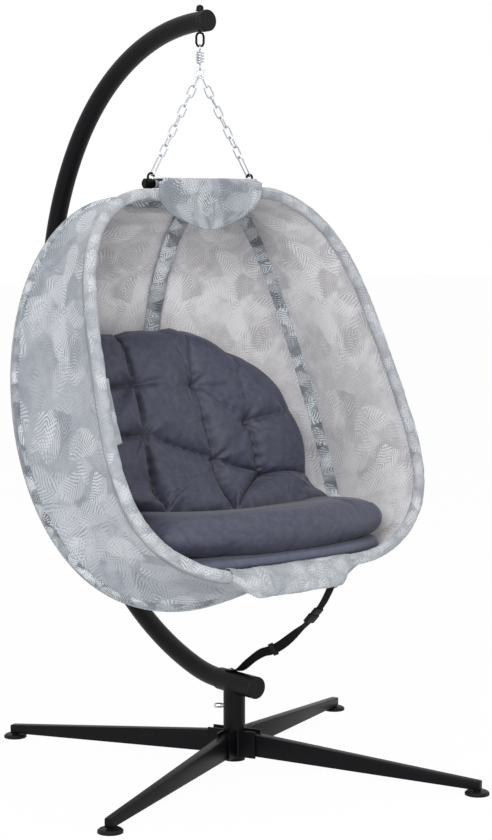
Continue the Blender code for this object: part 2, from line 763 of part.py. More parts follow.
def arch_turn(arch, low, high):
    """The turn between low and high, where the radius grows, at which the hoop's rod starts."""
    for _ in range(50):
        middle = (low + high) / 2
        if arch_radius(arch, middle) < ROD_START:
            low = middle
        else:
            high = middle
    return high


def arch_line(arch, level):
    """(radius, along) points of a half-hoop's rod, drawn to its own level in the stack at each pivot."""
    top = arch_turn(arch, 0.0, math.pi / 2)
    bottom = arch_turn(arch, math.pi, math.pi / 2)
    lift_top = TOP_PIVOT + level * TAB_PITCH - arch.rise * math.cos(top)
    lift_bottom = BOTTOM_PIVOT + level * TAB_PITCH - arch.rise * math.cos(bottom)
    line = []
    for index in range(ARCH_STEPS + 1):
        turn = top + (bottom - top) * index / ARCH_STEPS
        radius = arch_radius(arch, turn)
        near = max(0.0, 1.0 - (radius - ROD_START) / LIFT_FADE) ** 2
        lift = lift_top if turn < math.pi / 2 else lift_bottom
        line.append((radius, arch.rise * math.cos(turn) + lift * near))
    return line


def arch_points(arch, side, level):
    """The rod's points, on the side of the pod that side gives."""
    out = math.cos(arch.heading) * side
    back = math.sin(arch.heading)
    return [pod(radius * out, along, radius * back) for radius, along in arch_line(arch, level)]


def half_hoop(name, arch, side, level):
    """A bent rod with a flat drilled tab at each end, which turns on the pivot pins."""
    piece = as_mesh(wire(name, arch_points(arch, side, level), ROD_RADIUS, 2))
    axis = pod(0, 1, 0) - pod(0, 0, 0)
    out = pod(math.cos(arch.heading) * side, 0, math.sin(arch.heading)) - pod(0, 0, 0)
    end = ROD_START + 3 * SINK
    tabs = []
    holes = []
    for pivot in (TOP_PIVOT, BOTTOM_PIVOT):
        centre = pod(0, pivot + level * TAB_PITCH, 0)
        frame = stand_frame(centre + out * (end - TAB_NOSE) / 2, axis, out)
        tabs.append(box(f"{name}_tab", (end + TAB_NOSE, TAB_WIDTH, TAB_THICKNESS), frame))
        holes.append(rod(f"{name}_hole", centre - axis * SINK, centre + axis * SINK, PIN_RADIUS + TURN_GAP))
    combine(piece, tabs, "UNION")
    combine(piece, holes, "DIFFERENCE")
    return dress(piece, BLACK_STEEL)


def cross_bar(name, pivot, way, half_length):
    """A bar above or below a pivot, with a plate and the headed pin that the half-hoops turn on."""
    axis = (pod(0, 1, 0) - pod(0, 0, 0)) * way
    place = top_bar_point if way > 0 else bottom_bar_point
    piece = rod(name, place(-half_length), place(half_length), BAR_RADIUS, 16)
    inside = 2 * TAB_PITCH + TAB_THICKNESS / 2 + TURN_GAP
    centre = pod(0, pivot, 0)
    back = (place(0) - centre) - axis * BAR_RISE
    depth = back.normalized()
    far = back.length + BAR_RADIUS
    middle = centre + axis * (inside + PLATE_THICKNESS / 2) + depth * (far - PLATE_REACH) / 2
    plate_size = (PLATE_WIDTH, PLATE_REACH + far, PLATE_THICKNESS)
    rise = BAR_RISE - inside
    web_middle = centre + axis * (inside + rise / 2 + PLATE_THICKNESS / 4) + back
    web_size = (PLATE_WIDTH, BAR_RADIUS, rise - PLATE_THICKNESS / 2)
    pin_top = centre + axis * (inside + PLATE_THICKNESS / 2)
    pin_end = centre - axis * (inside + PIN_HEAD)
    joined = [
        box(f"{name}_plate", plate_size, stand_frame(middle, axis, X_AXIS)),
        box(f"{name}_web", web_size, stand_frame(web_middle, axis, X_AXIS)),
        rod(f"{name}_pin", pin_top, pin_end + axis * PIN_HEAD / 2, PIN_RADIUS, 20),
        rod(f"{name}_pin_head", pin_end + axis * PIN_HEAD, pin_end, PIN_HEAD_RADIUS, 20),
    ]
    combine(piece, joined, "UNION")
    return dress(piece, BLACK_STEEL)


# Fabric

def panel(name, first, second):
    """A cloth panel stretched between two half-hoops, bowed a little towards the inside."""
    form = bmesh.new()
    bmesh.ops.create_grid(form, x_segments=ARCH_STEPS, y_segments=PANEL_COLUMNS, size=0.5)
    for corner in form.verts:
        step = round((corner.co.x + 0.5) * ARCH_STEPS)
        share = corner.co.y + 0.5
        span = second[step] - first[step]
        start = rod_clearance(first, step, span)
        end = 1.0 - rod_clearance(second, step, span)
        bow = PANEL_BOW * 4.0 * share * (1.0 - share) * math.sin(math.pi * step / ARCH_STEPS)
        place = first[step] + span * (start + (end - start) * share)
        corner.co = place + towards_axis(first[step], second[step]) * bow
    piece = mesh_object(name, form)
    cloth = piece.modifiers.new("cloth", "SOLIDIFY")
    cloth.thickness = PANEL_THICKNESS
    cloth.offset = 0.0
    return dress(piece, SHELL_CLOTH)


def rod_clearance(points, step, span):
    """Share of a span across the cloth that a rod and the gap beside it take up."""
    along = points[min(step + 1, ARCH_STEPS)] - points[max(step - 1, 0)]
    slant = span.cross(along).length / along.length
    return (ROD_RADIUS + CLOTH_GAP) / slant


def towards_axis(first, second):
    """Unit direction from the middle of two points towards the pod's axis."""
    axis = pod(0, 1, 0) - pod(0, 0, 0)
    offset = (first + second) / 2 - POD_MIDDLE
    return -(offset - axis * offset.dot(axis)).normalized()


def flap_place(share):
    """Point of the flap's middle at a share of the way down from its sleeve, and the way it folds there."""
    bar = top_bar_point(0)
    wall = BAR_RADIUS + GAP + FLAP_SLEEVE_WALL / 2
    start = bar + Z_AXIS * wall
    edge = start - Y_AXIS * FLAP_FORWARD
    radius = BAR_RADIUS
    lengths = (FLAP_FORWARD - radius, radius * math.pi / 2, FLAP_DROP - radius)
    run = share * sum(lengths)
    if run < lengths[0]:
        return start - Y_AXIS * run, Z_AXIS
    angle = min(1.0, (run - lengths[0]) / lengths[1]) * math.pi / 2
    point = edge + (Y_AXIS * (1.0 - math.sin(angle)) - Z_AXIS * (1.0 - math.cos(angle))) * radius
    fold = -Y_AXIS * math.sin(angle) + Z_AXIS * math.cos(angle)
    return point - Z_AXIS * max(0.0, run - lengths[0] - lengths[1]), fold


def flap():
    """A half-moon cloth flap that hangs over the top bar, from a sleeve on it, in a few soft folds."""
    middle = top_bar_point(0)
    inner = BAR_RADIUS + GAP
    outer = inner + FLAP_SLEEVE_WALL
    half = FLAP_SLEEVE_HALF
    ring = ((inner, half), (outer, half), (outer, -half), (inner, -half))
    piece = as_mesh(turned("top_flap", ring, stand_frame(middle, X_AXIS, Z_AXIS), 20))
    size = (PLATE_WIDTH + 4 * TURN_GAP, 4 * outer, 4 * outer)
    combine(piece, [box("flap_notch", size, Matrix.Translation(middle))], "DIFFERENCE")
    form = bmesh.new()
    bmesh.ops.create_grid(form, x_segments=FLAP_COLUMNS, y_segments=FLAP_ROWS, size=0.5)
    for corner in form.verts:
        across = corner.co.x * 2.0
        share = 0.5 - corner.co.y
        wide = FLAP_SLEEVE_HALF - SINK / 2
        if share > 0.3:
            wide = FLAP_HALF_WIDTH * math.sqrt(1.0 - (max(0.0, share - 0.45) / 0.58) ** 2)
        point, fold = flap_place(share * (1.0 - 0.10 * abs(across) ** 3 * share))
        wave = FLAP_FOLD * share * share * (1.0 - math.cos(math.pi * FLAP_FOLDS * across)) / 2
        corner.co = point + X_AXIS * (across * wide) + fold * wave
    sheet = mesh_object("flap_sheet", form)
    cloth = sheet.modifiers.new("cloth", "SOLIDIFY")
    cloth.thickness = FLAP_THICKNESS
    cloth.offset = 1.0
    combine(piece, [as_mesh(sheet)], "UNION")
    return dress(piece, SHELL_CLOTH)


# Seat pad and cushion

def pad_frame(height):
    """The middle of the pad's underside: a sloping frame with its X axis across and its Y axis back."""
    middle = pod(0, BOTTOM_PIVOT, 0) + Y_AXIS * PAD_BEHIND
    normal = Vector((0.0, math.sin(PAD_SLOPE), math.cos(PAD_SLOPE)))
    return stand_frame(Vector((0.0, middle.y, height)), normal, X_AXIS)


def pad_shape():
    """The pad on its own: rounded corners, and sides that narrow towards its underside."""
    form = bmesh.new()
    steps = 40
    bmesh.ops.create_cone(form, cap_ends=True, segments=steps, radius1=1.0, radius2=1.0, depth=1.0)
    ends = [face for face in form.faces if len(face.verts) == steps]
    bmesh.ops.inset_region(form, faces=ends, thickness=0.12)
    sides = [edge for edge in form.edges if abs(edge.verts[0].co.z - edge.verts[1].co.z) > 0.5]
    bmesh.ops.subdivide_edges(form, edges=sides, cuts=1)
    power = PAD_SQUARENESS
    for corner in form.verts:
        angle = math.atan2(corner.co.y, corner.co.x)
        size = math.hypot(corner.co.x, corner.co.y)
        square = (abs(math.cos(angle)) ** power + abs(math.sin(angle)) ** power) ** (-1.0 / power)
        draw = 1.0
        if corner.co.z < -0.1:
            draw = PAD_UNDERSIDE
        elif corner.co.z > 0.1:
            draw = PAD_TOPSIDE
        corner.co.x = PAD_HALF_WIDTH * size * square * math.cos(angle) * draw
        corner.co.y = PAD_HALF_DEPTH * size * square * math.sin(angle) * draw
        corner.co.z = (corner.co.z + 0.5) * PAD_THICKNESS
    return form


def tree(things):
    """A search tree of the triangles of several pieces, as they are shown."""
    bpy.context.view_layer.update()
    graph = bpy.context.evaluated_depsgraph_get()
    points = []
    faces = []
    for thing in things:
        shown = thing.evaluated_get(graph)
        mesh = shown.to_mesh()
        start = len(points)
        points += [thing.matrix_world @ vertex.co for vertex in mesh.vertices]
        faces += [[start + index for index in face.vertices] for face in mesh.polygons]
        shown.to_mesh_clear()
    return BVHTree.FromPolygons(points, faces)


def pad_height(supports):
    """Height at which the pad comes to rest on the pieces below it."""
    below = tree(supports)
    form = pad_shape()
    shape = [corner.co.copy() for corner in form.verts]
    faces = [[corner.index for corner in face.verts] for face in form.faces]
    form.free()
    low = bottom_bar_point(0).z
    high = POD_MIDDLE.z
    for _ in range(24):
        height = (low + high) / 2
        frame = pad_frame(height)
        if below.overlap(BVHTree.FromPolygons([frame @ point for point in shape], faces)):
            low = height
        else:
            high = height
    return high + GAP


def seat_pad(height):
    """The thin flat pad on the floor of the pod."""
    piece = mesh_object("seat_pad", pad_shape())
    piece.matrix_world = pad_frame(height)
    return dress(piece, SLATE_CLOTH)


def cushion_line(frame, distance):
    """Point and direction of the cushion's middle line, at a distance from its front edge on the pad."""
    back = frame.to_3x3() @ Y_AXIS
    up = frame.to_3x3() @ Z_AXIS
    rise = PAD_THICKNESS + GAP + CUSHION_THICKNESS / 2
    front = frame @ Vector((0.0, CUSHION_FRONT_INSET - PAD_HALF_DEPTH, rise))
    if distance < CUSHION_SEAT:
        return front + back * distance, back
    point = front + back * CUSHION_SEAT
    turned_length = CUSHION_BEND * CUSHION_LEAN
    angle = min(1.0, (distance - CUSHION_SEAT) / turned_length) * CUSHION_LEAN
    point += (back * math.sin(angle) + up * (1.0 - math.cos(angle))) * CUSHION_BEND
    along = back * math.cos(angle) + up * math.sin(angle)
    rest = max(0.0, distance - CUSHION_SEAT - turned_length)
    return point + along * rest, along


def cushion(frame):
    """One long tufted cushion that covers the seat and leans up the back."""
    form = bmesh.new()
    bmesh.ops.create_cube(form, size=2.0)
    for axis, cuts in ((0, CUSHION_COLUMNS - 1), (1, CUSHION_ROWS - 1)):
        edges = [e for e in form.edges if abs(e.verts[0].co[axis] - e.verts[1].co[axis]) > 1.0]
        bmesh.ops.subdivide_edges(form, edges=edges, cuts=cuts, use_grid_fill=True)
    length = CUSHION_SEAT + CUSHION_BEND * CUSHION_LEAN + CUSHION_BACK
    for corner in form.verts:
        u, v, face = corner.co
        held_up = u < 0.0 < v
        draw = CUSHION_LEFT_TAPER if held_up else CUSHION_BACK_TAPER
        end_round = CUSHION_LEFT_ROUND if held_up else CUSHION_END_ROUND
        taper = draw * v ** 3 if v > 0.0 else CUSHION_FRONT_TAPER * v * v
        across = CUSHION_HALF_WIDTH * u * math.sqrt(1.0 - taper)
        run = length / 2 * (1.0 + v * math.sqrt(1.0 - end_round * u * u))
        middle, along = cushion_line(frame, run)
        up = X_AXIS.cross(along)
        crown = math.sqrt((1.0 - u ** 4) * (1.0 - v ** 4))
        half = (CUSHION_EDGE + (CUSHION_THICKNESS - CUSHION_EDGE) * crown) / 2
        if face > 0.0:
            near = [math.hypot(across - x, run - y) / TUFT_SPREAD for x, y in TUFTS]
            half -= TUFT_DEPTH * sum(math.exp(-d * d * 2.0) for d in near) * crown
        steep = min(1.0, run / length * 1.6)
        dish = CUSHION_DISH * steep * across * across
        corner.co = middle + X_AXIS * across + up * (face * half + dish)
    piece = mesh_object("cushion", form)
    return dress(piece, SLATE_CLOTH)


# Tether strap

def smooth_line(route, before, after, count=60):
    """Points close together on a smooth curve along a route, which comes from a point and goes to another."""
    route = [before] + route + [after]
    spans = len(route) - 3
    points = []
    for index in range(count + 1):
        place = min(spans * index / count, spans - 1e-9)
        a, b, c, d = route[int(place):int(place) + 4]
        t = place - int(place)
        bend_part = (a * 2 - b * 5 + c * 4 - d) * t ** 2 + (b * 3 - a - c * 3 + d) * t ** 3
        points.append((b * 2 + (c - a) * t + bend_part) / 2)
    return points


def strap_side(along):
    """Direction across the strap's width."""
    return (X_AXIS - along * X_AXIS.dot(along)).normalized()


def ribbon(name, points, rows):
    """A flat stretch of webbing along points."""
    form = bmesh.new()
    bmesh.ops.create_grid(form, x_segments=rows, y_segments=1, size=0.5)
    for corner in form.verts:
        index = round((corner.co.x + 0.5) * (len(points) - 1))
        along = points[min(index + 1, len(points) - 1)] - points[max(index - 1, 0)]
        corner.co = points[index] + strap_side(along.normalized()) * (corner.co.y * STRAP_WIDTH)
    piece = mesh_object(name, form)
    thick = piece.modifiers.new("webbing", "SOLIDIFY")
    thick.thickness = STRAP_THICKNESS
    thick.offset = 0.0
    return piece


def strap_block(name, middle, along, length, width, thickness):
    """A rounded moulded block on the strap."""
    piece = box(name, (width, length - 2 * GAP, thickness), Matrix.Identity(4))
    side = strap_side(along)
    piece.matrix_world = stand_frame(middle, side.cross(along), side)
    round_edges(piece, thickness / 4)
    return dress(piece, BLACK_PLASTIC)


def tether_strap():
    """The strap from the tee to the bottom bar, in three stretches, with a glide and a two-part buckle."""
    flat = sleeve_top() + GAP + STRAP_THICKNESS / 2
    foot_end = Vector((0.0, STRAP_FOOT, flat))
    glide = Vector(GLIDE_MIDDLE)
    glide_way = Vector(GLIDE_WAY).normalized()
    buckle = Vector(BUCKLE_MIDDLE)
    buckle_way = Vector(BUCKLE_WAY).normalized()
    buckle_length = SOCKET_LENGTH + PLUG_LENGTH
    hang = bottom_bar_point(STRAP_LOOP_OFFSET) - Z_AXIS * (BAR_RADIUS + GAP + STRAP_THICKNESS / 2)
    lead = 2 * STRAP_WIDTH

    route = [foot_end, Vector((0.0, STRAP_FOOT / 6, flat))]
    route += [Vector((x, y, flat + rise)) for x, y, rise in STRAP_LOW_ROUTE]
    route.append(glide - glide_way * (GLIDE_LENGTH / 2 + GAP))
    points = smooth_line(route, foot_end + Y_AXIS * lead, route[-1] + glide_way * lead)
    lower = ribbon("strap_lower", points, 20)
    seat = Vector((0.0, BOLT_SETBACK, flat))
    hole = rod("strap_hole", seat - Z_AXIS * SINK, seat + Z_AXIS * SINK, BOLT_RADIUS + GAP)
    combine(lower, [hole], "DIFFERENCE")
    dress(lower, WEBBING)
    strap_block("strap_glide", glide, glide_way, GLIDE_LENGTH, GLIDE_WIDTH, GLIDE_THICKNESS)

    route = [glide + glide_way * (GLIDE_LENGTH / 2 + GAP)] + [Vector(p) for p in STRAP_MIDDLE_ROUTE]
    route.append(buckle - buckle_way * (buckle_length / 2 + GAP))
    points = smooth_line(route, route[0] - glide_way * lead, route[-1] + buckle_way * lead)
    dress(ribbon("strap_middle", points, 12), WEBBING)
    socket = buckle - buckle_way * PLUG_LENGTH / 2
    strap_block("buckle_socket", socket, buckle_way, SOCKET_LENGTH, BUCKLE_WIDTH, BUCKLE_THICKNESS)
    plug = buckle + buckle_way * SOCKET_LENGTH / 2
    strap_block("buckle_plug", plug, buckle_way, PLUG_LENGTH, BUCKLE_WIDTH * 0.9, BUCKLE_THICKNESS * 0.8)

    route = [buckle + buckle_way * (buckle_length / 2 + GAP)] + [Vector(p) for p in STRAP_HIGH_ROUTE]
    route.append(hang)
    points = smooth_line(route, route[0] - buckle_way * lead, hang + Z_AXIS * lead)
    upper = as_mesh(ribbon("strap_upper", points, 10))
    inner = BAR_RADIUS + GAP
    half = STRAP_WIDTH / 2
    outer = inner + STRAP_THICKNESS
    ring = ((inner, half), (outer, half), (outer, -half), (inner, -half))
    loop = turned("strap_loop", ring, stand_frame(bottom_bar_point(STRAP_LOOP_OFFSET), X_AXIS, Z_AXIS), 20)
    combine(upper, [as_mesh(loop)], "UNION")
    dress(upper, WEBBING)


# Joints

def joint(name, place, axis, pieces, parent=None):
    """An empty on a joint's axis, which carries the pieces that move on it."""
    empty = bpy.data.objects.new(name, None)
    empty.empty_display_size = 0.05
    PIECES.objects.link(empty)
    empty.matrix_world = stand_frame(place, axis, X_AXIS if abs(axis.x) < 0.9 else Z_AXIS)
    bpy.context.view_layer.update()
    for piece in pieces:
        piece.parent = empty
        piece.matrix_parent_inverse = empty.matrix_world.inverted()
    if parent:
        empty.parent = parent
        empty.matrix_parent_inverse = parent.matrix_world.inverted()
        bpy.context.view_layer.update()
    return empty


def named(*names):
    """The pieces whose names start with one of these words."""
    return [piece for piece in PIECES.objects if piece.type != "EMPTY" and piece.name.startswith(names)]


def joints():
    """Every joint, from the stand up the arm and down to the pod's folding frame."""
    out = Vector((math.cos(CLAMP_HEADING), math.sin(CLAMP_HEADING), 0.0))
    joint("clamp_screw_turn", Vector((0.0, 0.0, CLAMP_HEIGHT)) + out * HUB_RADIUS, out, named("clamp_screw"))
    swivel = joint("arm_swivel", Z_AXIS * HUB_TOP, Z_AXIS, named("tee", "arm", "strap_lower"))
    twist = joint("chair_twist", EYE, Z_AXIS, named("eye", "strap_glide"), swivel)
    swing = joint("chair_swing", HANG, X_AXIS, named("hang_spring", "strap_middle", "buckle"), twist)
    fixed = named("hang_ring", "left_chain", "right_chain", "left_hook", "right_hook", "strap_upper")
    fixed += named("top", "bottom", "spine", "left_back", "right_back", "cushion", "seat_pad")
    bounce = joint("spring_bounce", HANG, -Z_AXIS, fixed, swing)
    axis = pod(0, 1, 0) - pod(0, 0, 0)
    for side, word in ((1, "right"), (-1, "left")):
        moved = named(f"{word}_rib", f"{word}_side")
        rib = joint(f"{word}_rib_fold", POD_MIDDLE, axis * side, moved, bounce)
        joint(f"{word}_rim_fold", POD_MIDDLE, axis * side, named(f"{word}_rim"), rib)


BELOW_PAD = ("panel", "rim", "rib", "spine", "bar")

clear_scene()
PIECES = collection("hanging_pod_chair")
HELPERS = collection("cutters_and_joins")

ARM_LOW, ARM_HIGH, ARM_ALONG = arm_line()
EYE = ARM_HIGH[-1] + Vector((0.0, EYE_SETBACK, 0.0))
HANG = EYE - Z_AXIS * (TUBE_RADIUS + GAP + EYE_WIRE + EYE_LENGTH)
POD_MIDDLE = HANG - Vector((0.0, POD_FORWARD, POD_DROP))

for number in range(LEG_COUNT):
    leg(number)
    foot(number)
hub()
clamp_screw()
tee()
tee_bolt()
tee_cap()
arm_lower(ARM_LOW, ARM_ALONG)
arm_upper(ARM_HIGH)
arm_end_cap(ARM_HIGH)

eye_bolt()
eye_nut()
hang_spring()
hang_ring()
for hand, word in ((1, "right"), (-1, "left")):
    hook(hand, word)
    chain(hand, word)

cross_bar("top_bar", TOP_PIVOT, 1, TOP_BAR_HALF_LENGTH)
cross_bar("bottom_bar", BOTTOM_PIVOT, -1, BOTTOM_BAR_HALF_LENGTH)
half_hoop("spine", SPINE, 1, 0)
SPINE_POINTS = arch_points(SPINE, 1, 0)
for hand, word in ((1, "right"), (-1, "left")):
    half_hoop(f"{word}_rib", RIB, hand, hand)
    half_hoop(f"{word}_rim", RIM, hand, 2 * hand)
    rib_points = arch_points(RIB, hand, hand)
    rim_points = arch_points(RIM, hand, 2 * hand)
    panel(f"{word}_side_panel", rim_points, rib_points)
    panel(f"{word}_back_panel", rib_points, SPINE_POINTS)

flap()
PAD_HEIGHT = pad_height([piece for piece in PIECES.objects if piece.name.split("_")[-1] in BELOW_PAD])
seat_pad(PAD_HEIGHT)
cushion(pad_frame(PAD_HEIGHT))
tether_strap()
joints()
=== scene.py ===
"""Looks of the hanging pod chair: cloth, cushions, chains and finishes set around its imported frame.

Metres, +Z up. The floor is z = 0, the stand's post is the Z axis and the chair faces -Y.
"""

import json
import logging
import math
from dataclasses import dataclass, field, replace
from enum import Enum
from typing import Callable, Iterable, Optional, Sequence, Union

import bmesh
import bpy
import numpy as np
from mathutils import Matrix, Vector, noise


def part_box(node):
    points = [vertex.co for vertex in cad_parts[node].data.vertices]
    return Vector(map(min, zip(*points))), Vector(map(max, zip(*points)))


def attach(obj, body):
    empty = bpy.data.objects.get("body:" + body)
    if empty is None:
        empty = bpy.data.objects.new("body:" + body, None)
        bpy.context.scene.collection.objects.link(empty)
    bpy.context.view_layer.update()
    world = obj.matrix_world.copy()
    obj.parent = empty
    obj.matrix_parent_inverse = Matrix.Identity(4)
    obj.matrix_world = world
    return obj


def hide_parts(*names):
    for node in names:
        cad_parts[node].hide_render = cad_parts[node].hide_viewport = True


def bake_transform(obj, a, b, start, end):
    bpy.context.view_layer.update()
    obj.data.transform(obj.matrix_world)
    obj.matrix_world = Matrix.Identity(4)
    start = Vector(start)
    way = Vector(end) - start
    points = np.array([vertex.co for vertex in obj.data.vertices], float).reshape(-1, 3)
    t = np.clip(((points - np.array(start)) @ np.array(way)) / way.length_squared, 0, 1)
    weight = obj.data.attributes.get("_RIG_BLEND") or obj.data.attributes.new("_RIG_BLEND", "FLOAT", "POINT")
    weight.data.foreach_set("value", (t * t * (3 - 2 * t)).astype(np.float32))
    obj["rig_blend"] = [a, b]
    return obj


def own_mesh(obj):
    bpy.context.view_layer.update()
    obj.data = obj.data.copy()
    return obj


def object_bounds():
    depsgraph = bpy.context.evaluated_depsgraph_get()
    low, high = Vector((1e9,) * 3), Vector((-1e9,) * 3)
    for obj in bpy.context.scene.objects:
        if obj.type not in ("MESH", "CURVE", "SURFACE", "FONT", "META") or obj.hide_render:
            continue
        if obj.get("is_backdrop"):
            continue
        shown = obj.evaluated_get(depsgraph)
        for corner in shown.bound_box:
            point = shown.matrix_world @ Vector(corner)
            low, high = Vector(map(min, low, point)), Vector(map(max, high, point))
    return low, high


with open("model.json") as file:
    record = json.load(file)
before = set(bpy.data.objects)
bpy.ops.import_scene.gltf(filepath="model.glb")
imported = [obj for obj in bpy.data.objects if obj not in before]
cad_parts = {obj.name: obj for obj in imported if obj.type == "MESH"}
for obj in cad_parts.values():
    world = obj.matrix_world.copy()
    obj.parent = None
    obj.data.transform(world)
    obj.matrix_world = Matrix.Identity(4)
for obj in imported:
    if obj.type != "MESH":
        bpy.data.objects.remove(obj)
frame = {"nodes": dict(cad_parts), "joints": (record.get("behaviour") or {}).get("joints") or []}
CAD_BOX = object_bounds()

log = logging.getLogger("pod_chair")

X_AXIS = Vector((1.0, 0.0, 0.0))
Y_AXIS = Vector((0.0, 1.0, 0.0))
Z_AXIS = Vector((0.0, 0.0, 1.0))
GAP = 0.0003            # clearance between pieces that lie on each other
CREASE_SHADE = "fold"           # point attribute: how deep in a crease a point lies, which sets the painted shade of the cushion's cloth
BLEND = "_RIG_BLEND"     # point attribute of a blended piece: its share of the second body's motion
UNIT = (0.0, 1.0)

Colour = tuple[float, float, float, float]
Place = Callable[[float, float], Vector]
Form = bmesh.types.BMesh
Object = bpy.types.Object
Material = bpy.types.Material
Node = bpy.types.Node
Socket = bpy.types.NodeSocket
Value = Union[Socket, float]
Span = tuple[float, float]


class Side(Enum):
    """The two sides of the chair, as seen along +Y."""

    LEFT = -1
    RIGHT = 1

    @property
    def word(self) -> str:
        """The side's name, as the frame's nodes use it."""
        return self.name.lower()


class Slot(Enum):
    """The record's material slots."""

    STEEL = "black_steel"
    PLASTIC = "black_plastic"
    ZINC = "zinc"
    WEBBING = "webbing"
    SHELL = "shell_cloth"
    SLATE = "slate_cloth"


# Nodes and colours

def linear(code: str) -> Colour:
    """Turns an sRGB hex colour into linear values.

    Args:
        code: six hex digits after a hash.

    Returns:
        Linear red, green and blue, and an alpha of 1.
    """
    shares = [int(code[place:place + 2], 16) / 255 for place in (1, 3, 5)]
    values = [s / 12.92 if s <= 0.04045 else ((s + 0.055) / 1.055) ** 2.4 for s in shares]
    return values[0], values[1], values[2], 1.0


def per_metre(size_mm: float) -> float:
    """Texture scale at which one feature has this size, on coordinates in metres."""
    return 1000.0 / size_mm


class Nodes:
    """The nodes of one material or world."""

    def __init__(self, tree: bpy.types.NodeTree) -> None:
        """Keeps the tree that the nodes are added to."""
        self.tree = tree

    def connect(self, node: Node, inputs: dict) -> None:
        """Sets a node's inputs.

        Args:
            node: the node.
            inputs: values or other nodes' outputs, by input name or number.
        """
        for key, value in inputs.items():
            if isinstance(value, Socket):
                self.tree.links.new(value, node.inputs[key])
            else:
                node.inputs[key].default_value = value

    def add(self, kind: str, inputs: Optional[dict] = None, **settings) -> Node:
        """Adds a node, with its settings and its inputs.

        Args:
            kind: the node's type, without ShaderNode.
            inputs: values or other nodes' outputs, by input name or number.
            settings: the node's own properties.

        Returns:
            The new node.
        """
        made = self.tree.nodes.new("ShaderNode" + kind)
        for name, value in settings.items():
            setattr(made, name, value)
        self.connect(made, inputs or {})
        return made

    def maths(self, operation: str, first: Value, second: Value = 0.0, third: Value = 0.0) -> Socket:
        """The result of one Math node, which uses as many of the values as its operation takes."""
        return self.add("Math", {0: first, 1: second, 2: third}, operation=operation).outputs[0]

    def remap(self, value: Socket, source: Span, result: Span, kind: str = "LINEAR") -> Socket:
        """Maps one range of values onto another.

        Args:
            value: what is mapped.
            source: the range it comes from.
            result: the range it goes to.
            kind: how it runs between the ends.

        Returns:
            The mapped value.
        """
        inputs = {"Value": value, "From Min": source[0], "From Max": source[1],
                  "To Min": result[0], "To Max": result[1]}
        return self.add("MapRange", inputs, interpolation_type=kind).outputs[0]

    def speckle(self, place: Socket, size_mm: float, detail: float = 2.0, roughness: float = 0.5,
                distortion: float = 0.0) -> Node:
        """A noise texture on coordinates in metres.

        Args:
            place: the coordinates.
            size_mm: size of its largest features.
            detail: how many finer octaves it has.
            roughness: how strong these are.
            distortion: how far it is warped.

        Returns:
            The texture.
        """
        return self.add("TexNoise", {"Vector": place, "Scale": per_metre(size_mm), "Detail": detail,
                                     "Roughness": roughness, "Distortion": distortion})

    def bands(self, place: Socket, size_mm: float, direction: str, distortion: float = 0.0) -> Socket:
        """Waves across coordinates in metres.

        Args:
            place: the coordinates.
            size_mm: width of a wave.
            direction: the axis that the waves follow one another along.
            distortion: how far they are warped.

        Returns:
            The waves' height.
        """
        scale = per_metre(size_mm) / math.tau * 2.0
        return self.add("TexWave", {"Vector": place, "Scale": scale, "Distortion": distortion},
                        bands_direction=direction).outputs[1]

    def blend(self, share: Value, low: Union[Socket, Colour], high: Union[Socket, Colour]) -> Socket:
        """Mixes two colours, by the share of the second that shows."""
        return self.add("Mix", {0: share, 6: low, 7: high}, data_type="RGBA").outputs[2]

    def bump(self, shader: Node, height: Socket, depth_mm: float) -> None:
        """Gives a shader a relief, from a height of 0 to 1 and its depth."""
        made = self.add("Bump", {"Strength": 1.0, "Distance": depth_mm / 1000.0, "Height": height})
        self.connect(shader, {"Normal": made.outputs[0]})


def start_material(name: str) -> tuple[Material, Nodes, Node]:
    """A new node material.

    Args:
        name: what the material is called.

    Returns:
        The material, its nodes and its Principled shader.
    """
    material = bpy.data.materials.new(name)
    material.use_nodes = True
    nodes = Nodes(material.node_tree)
    return material, nodes, nodes.tree.nodes["Principled BSDF"]


# Finishes

@dataclass(frozen=True)
class PowderCoat:
    """Polyester powder coat on steel tube, baked satin black: a soft gloss with a slight orange peel."""

    colour: str = "#070608"
    haze: str = "#0D0B0F"
    peel_mm: float = 5.0        # real peel is about 1 mm; drawn coarser so that it shows
    cloud_mm: float = 90.0
    depth_mm: float = 0.05
    rough: Span = (0.36, 0.50)
    gloss: float = 0.12

    def material(self) -> Material:
        """The finish as a node material."""
        material, nodes, shader = start_material("powder_coated_steel")
        place = nodes.add("TexCoord").outputs["Object"]
        cloud = nodes.speckle(place, self.cloud_mm, detail=4.0).outputs[0]
        nodes.connect(shader, {
            "Base Color": nodes.blend(cloud, linear(self.colour), linear(self.haze)),
            "Roughness": nodes.remap(cloud, UNIT, self.rough),
            "Specular IOR Level": self.gloss,
        })
        nodes.bump(shader, nodes.speckle(place, self.peel_mm).outputs[0], self.depth_mm)
        return material


@dataclass(frozen=True)
class MouldedPlastic:
    """Injection-moulded polypropylene: dull near-black with a fine spark-eroded grain."""

    colour: str = "#0C0B0D"
    dark_share: float = 0.75    # of the colour, where the moulding is darkest
    grain_mm: float = 1.2
    cloud_mm: float = 25.0
    depth_mm: float = 0.06
    rough: Span = (0.45, 0.62)
    gloss: float = 0.18

    def material(self) -> Material:
        """The finish as a node material."""
        material, nodes, shader = start_material("moulded_plastic")
        place = nodes.add("TexCoord").outputs["Object"]
        grain = nodes.speckle(place, self.grain_mm, detail=3.0).outputs[0]
        cloud = nodes.speckle(place, self.cloud_mm).outputs[0]
        dark = tuple(self.dark_share * value for value in linear(self.colour)[:3]) + (1.0,)
        nodes.connect(shader, {
            "Base Color": nodes.blend(cloud, dark, linear(self.colour)),
            "Roughness": nodes.remap(grain, UNIT, self.rough),
            "Specular IOR Level": self.gloss,
        })
        nodes.bump(shader, grain, self.depth_mm)
        return material


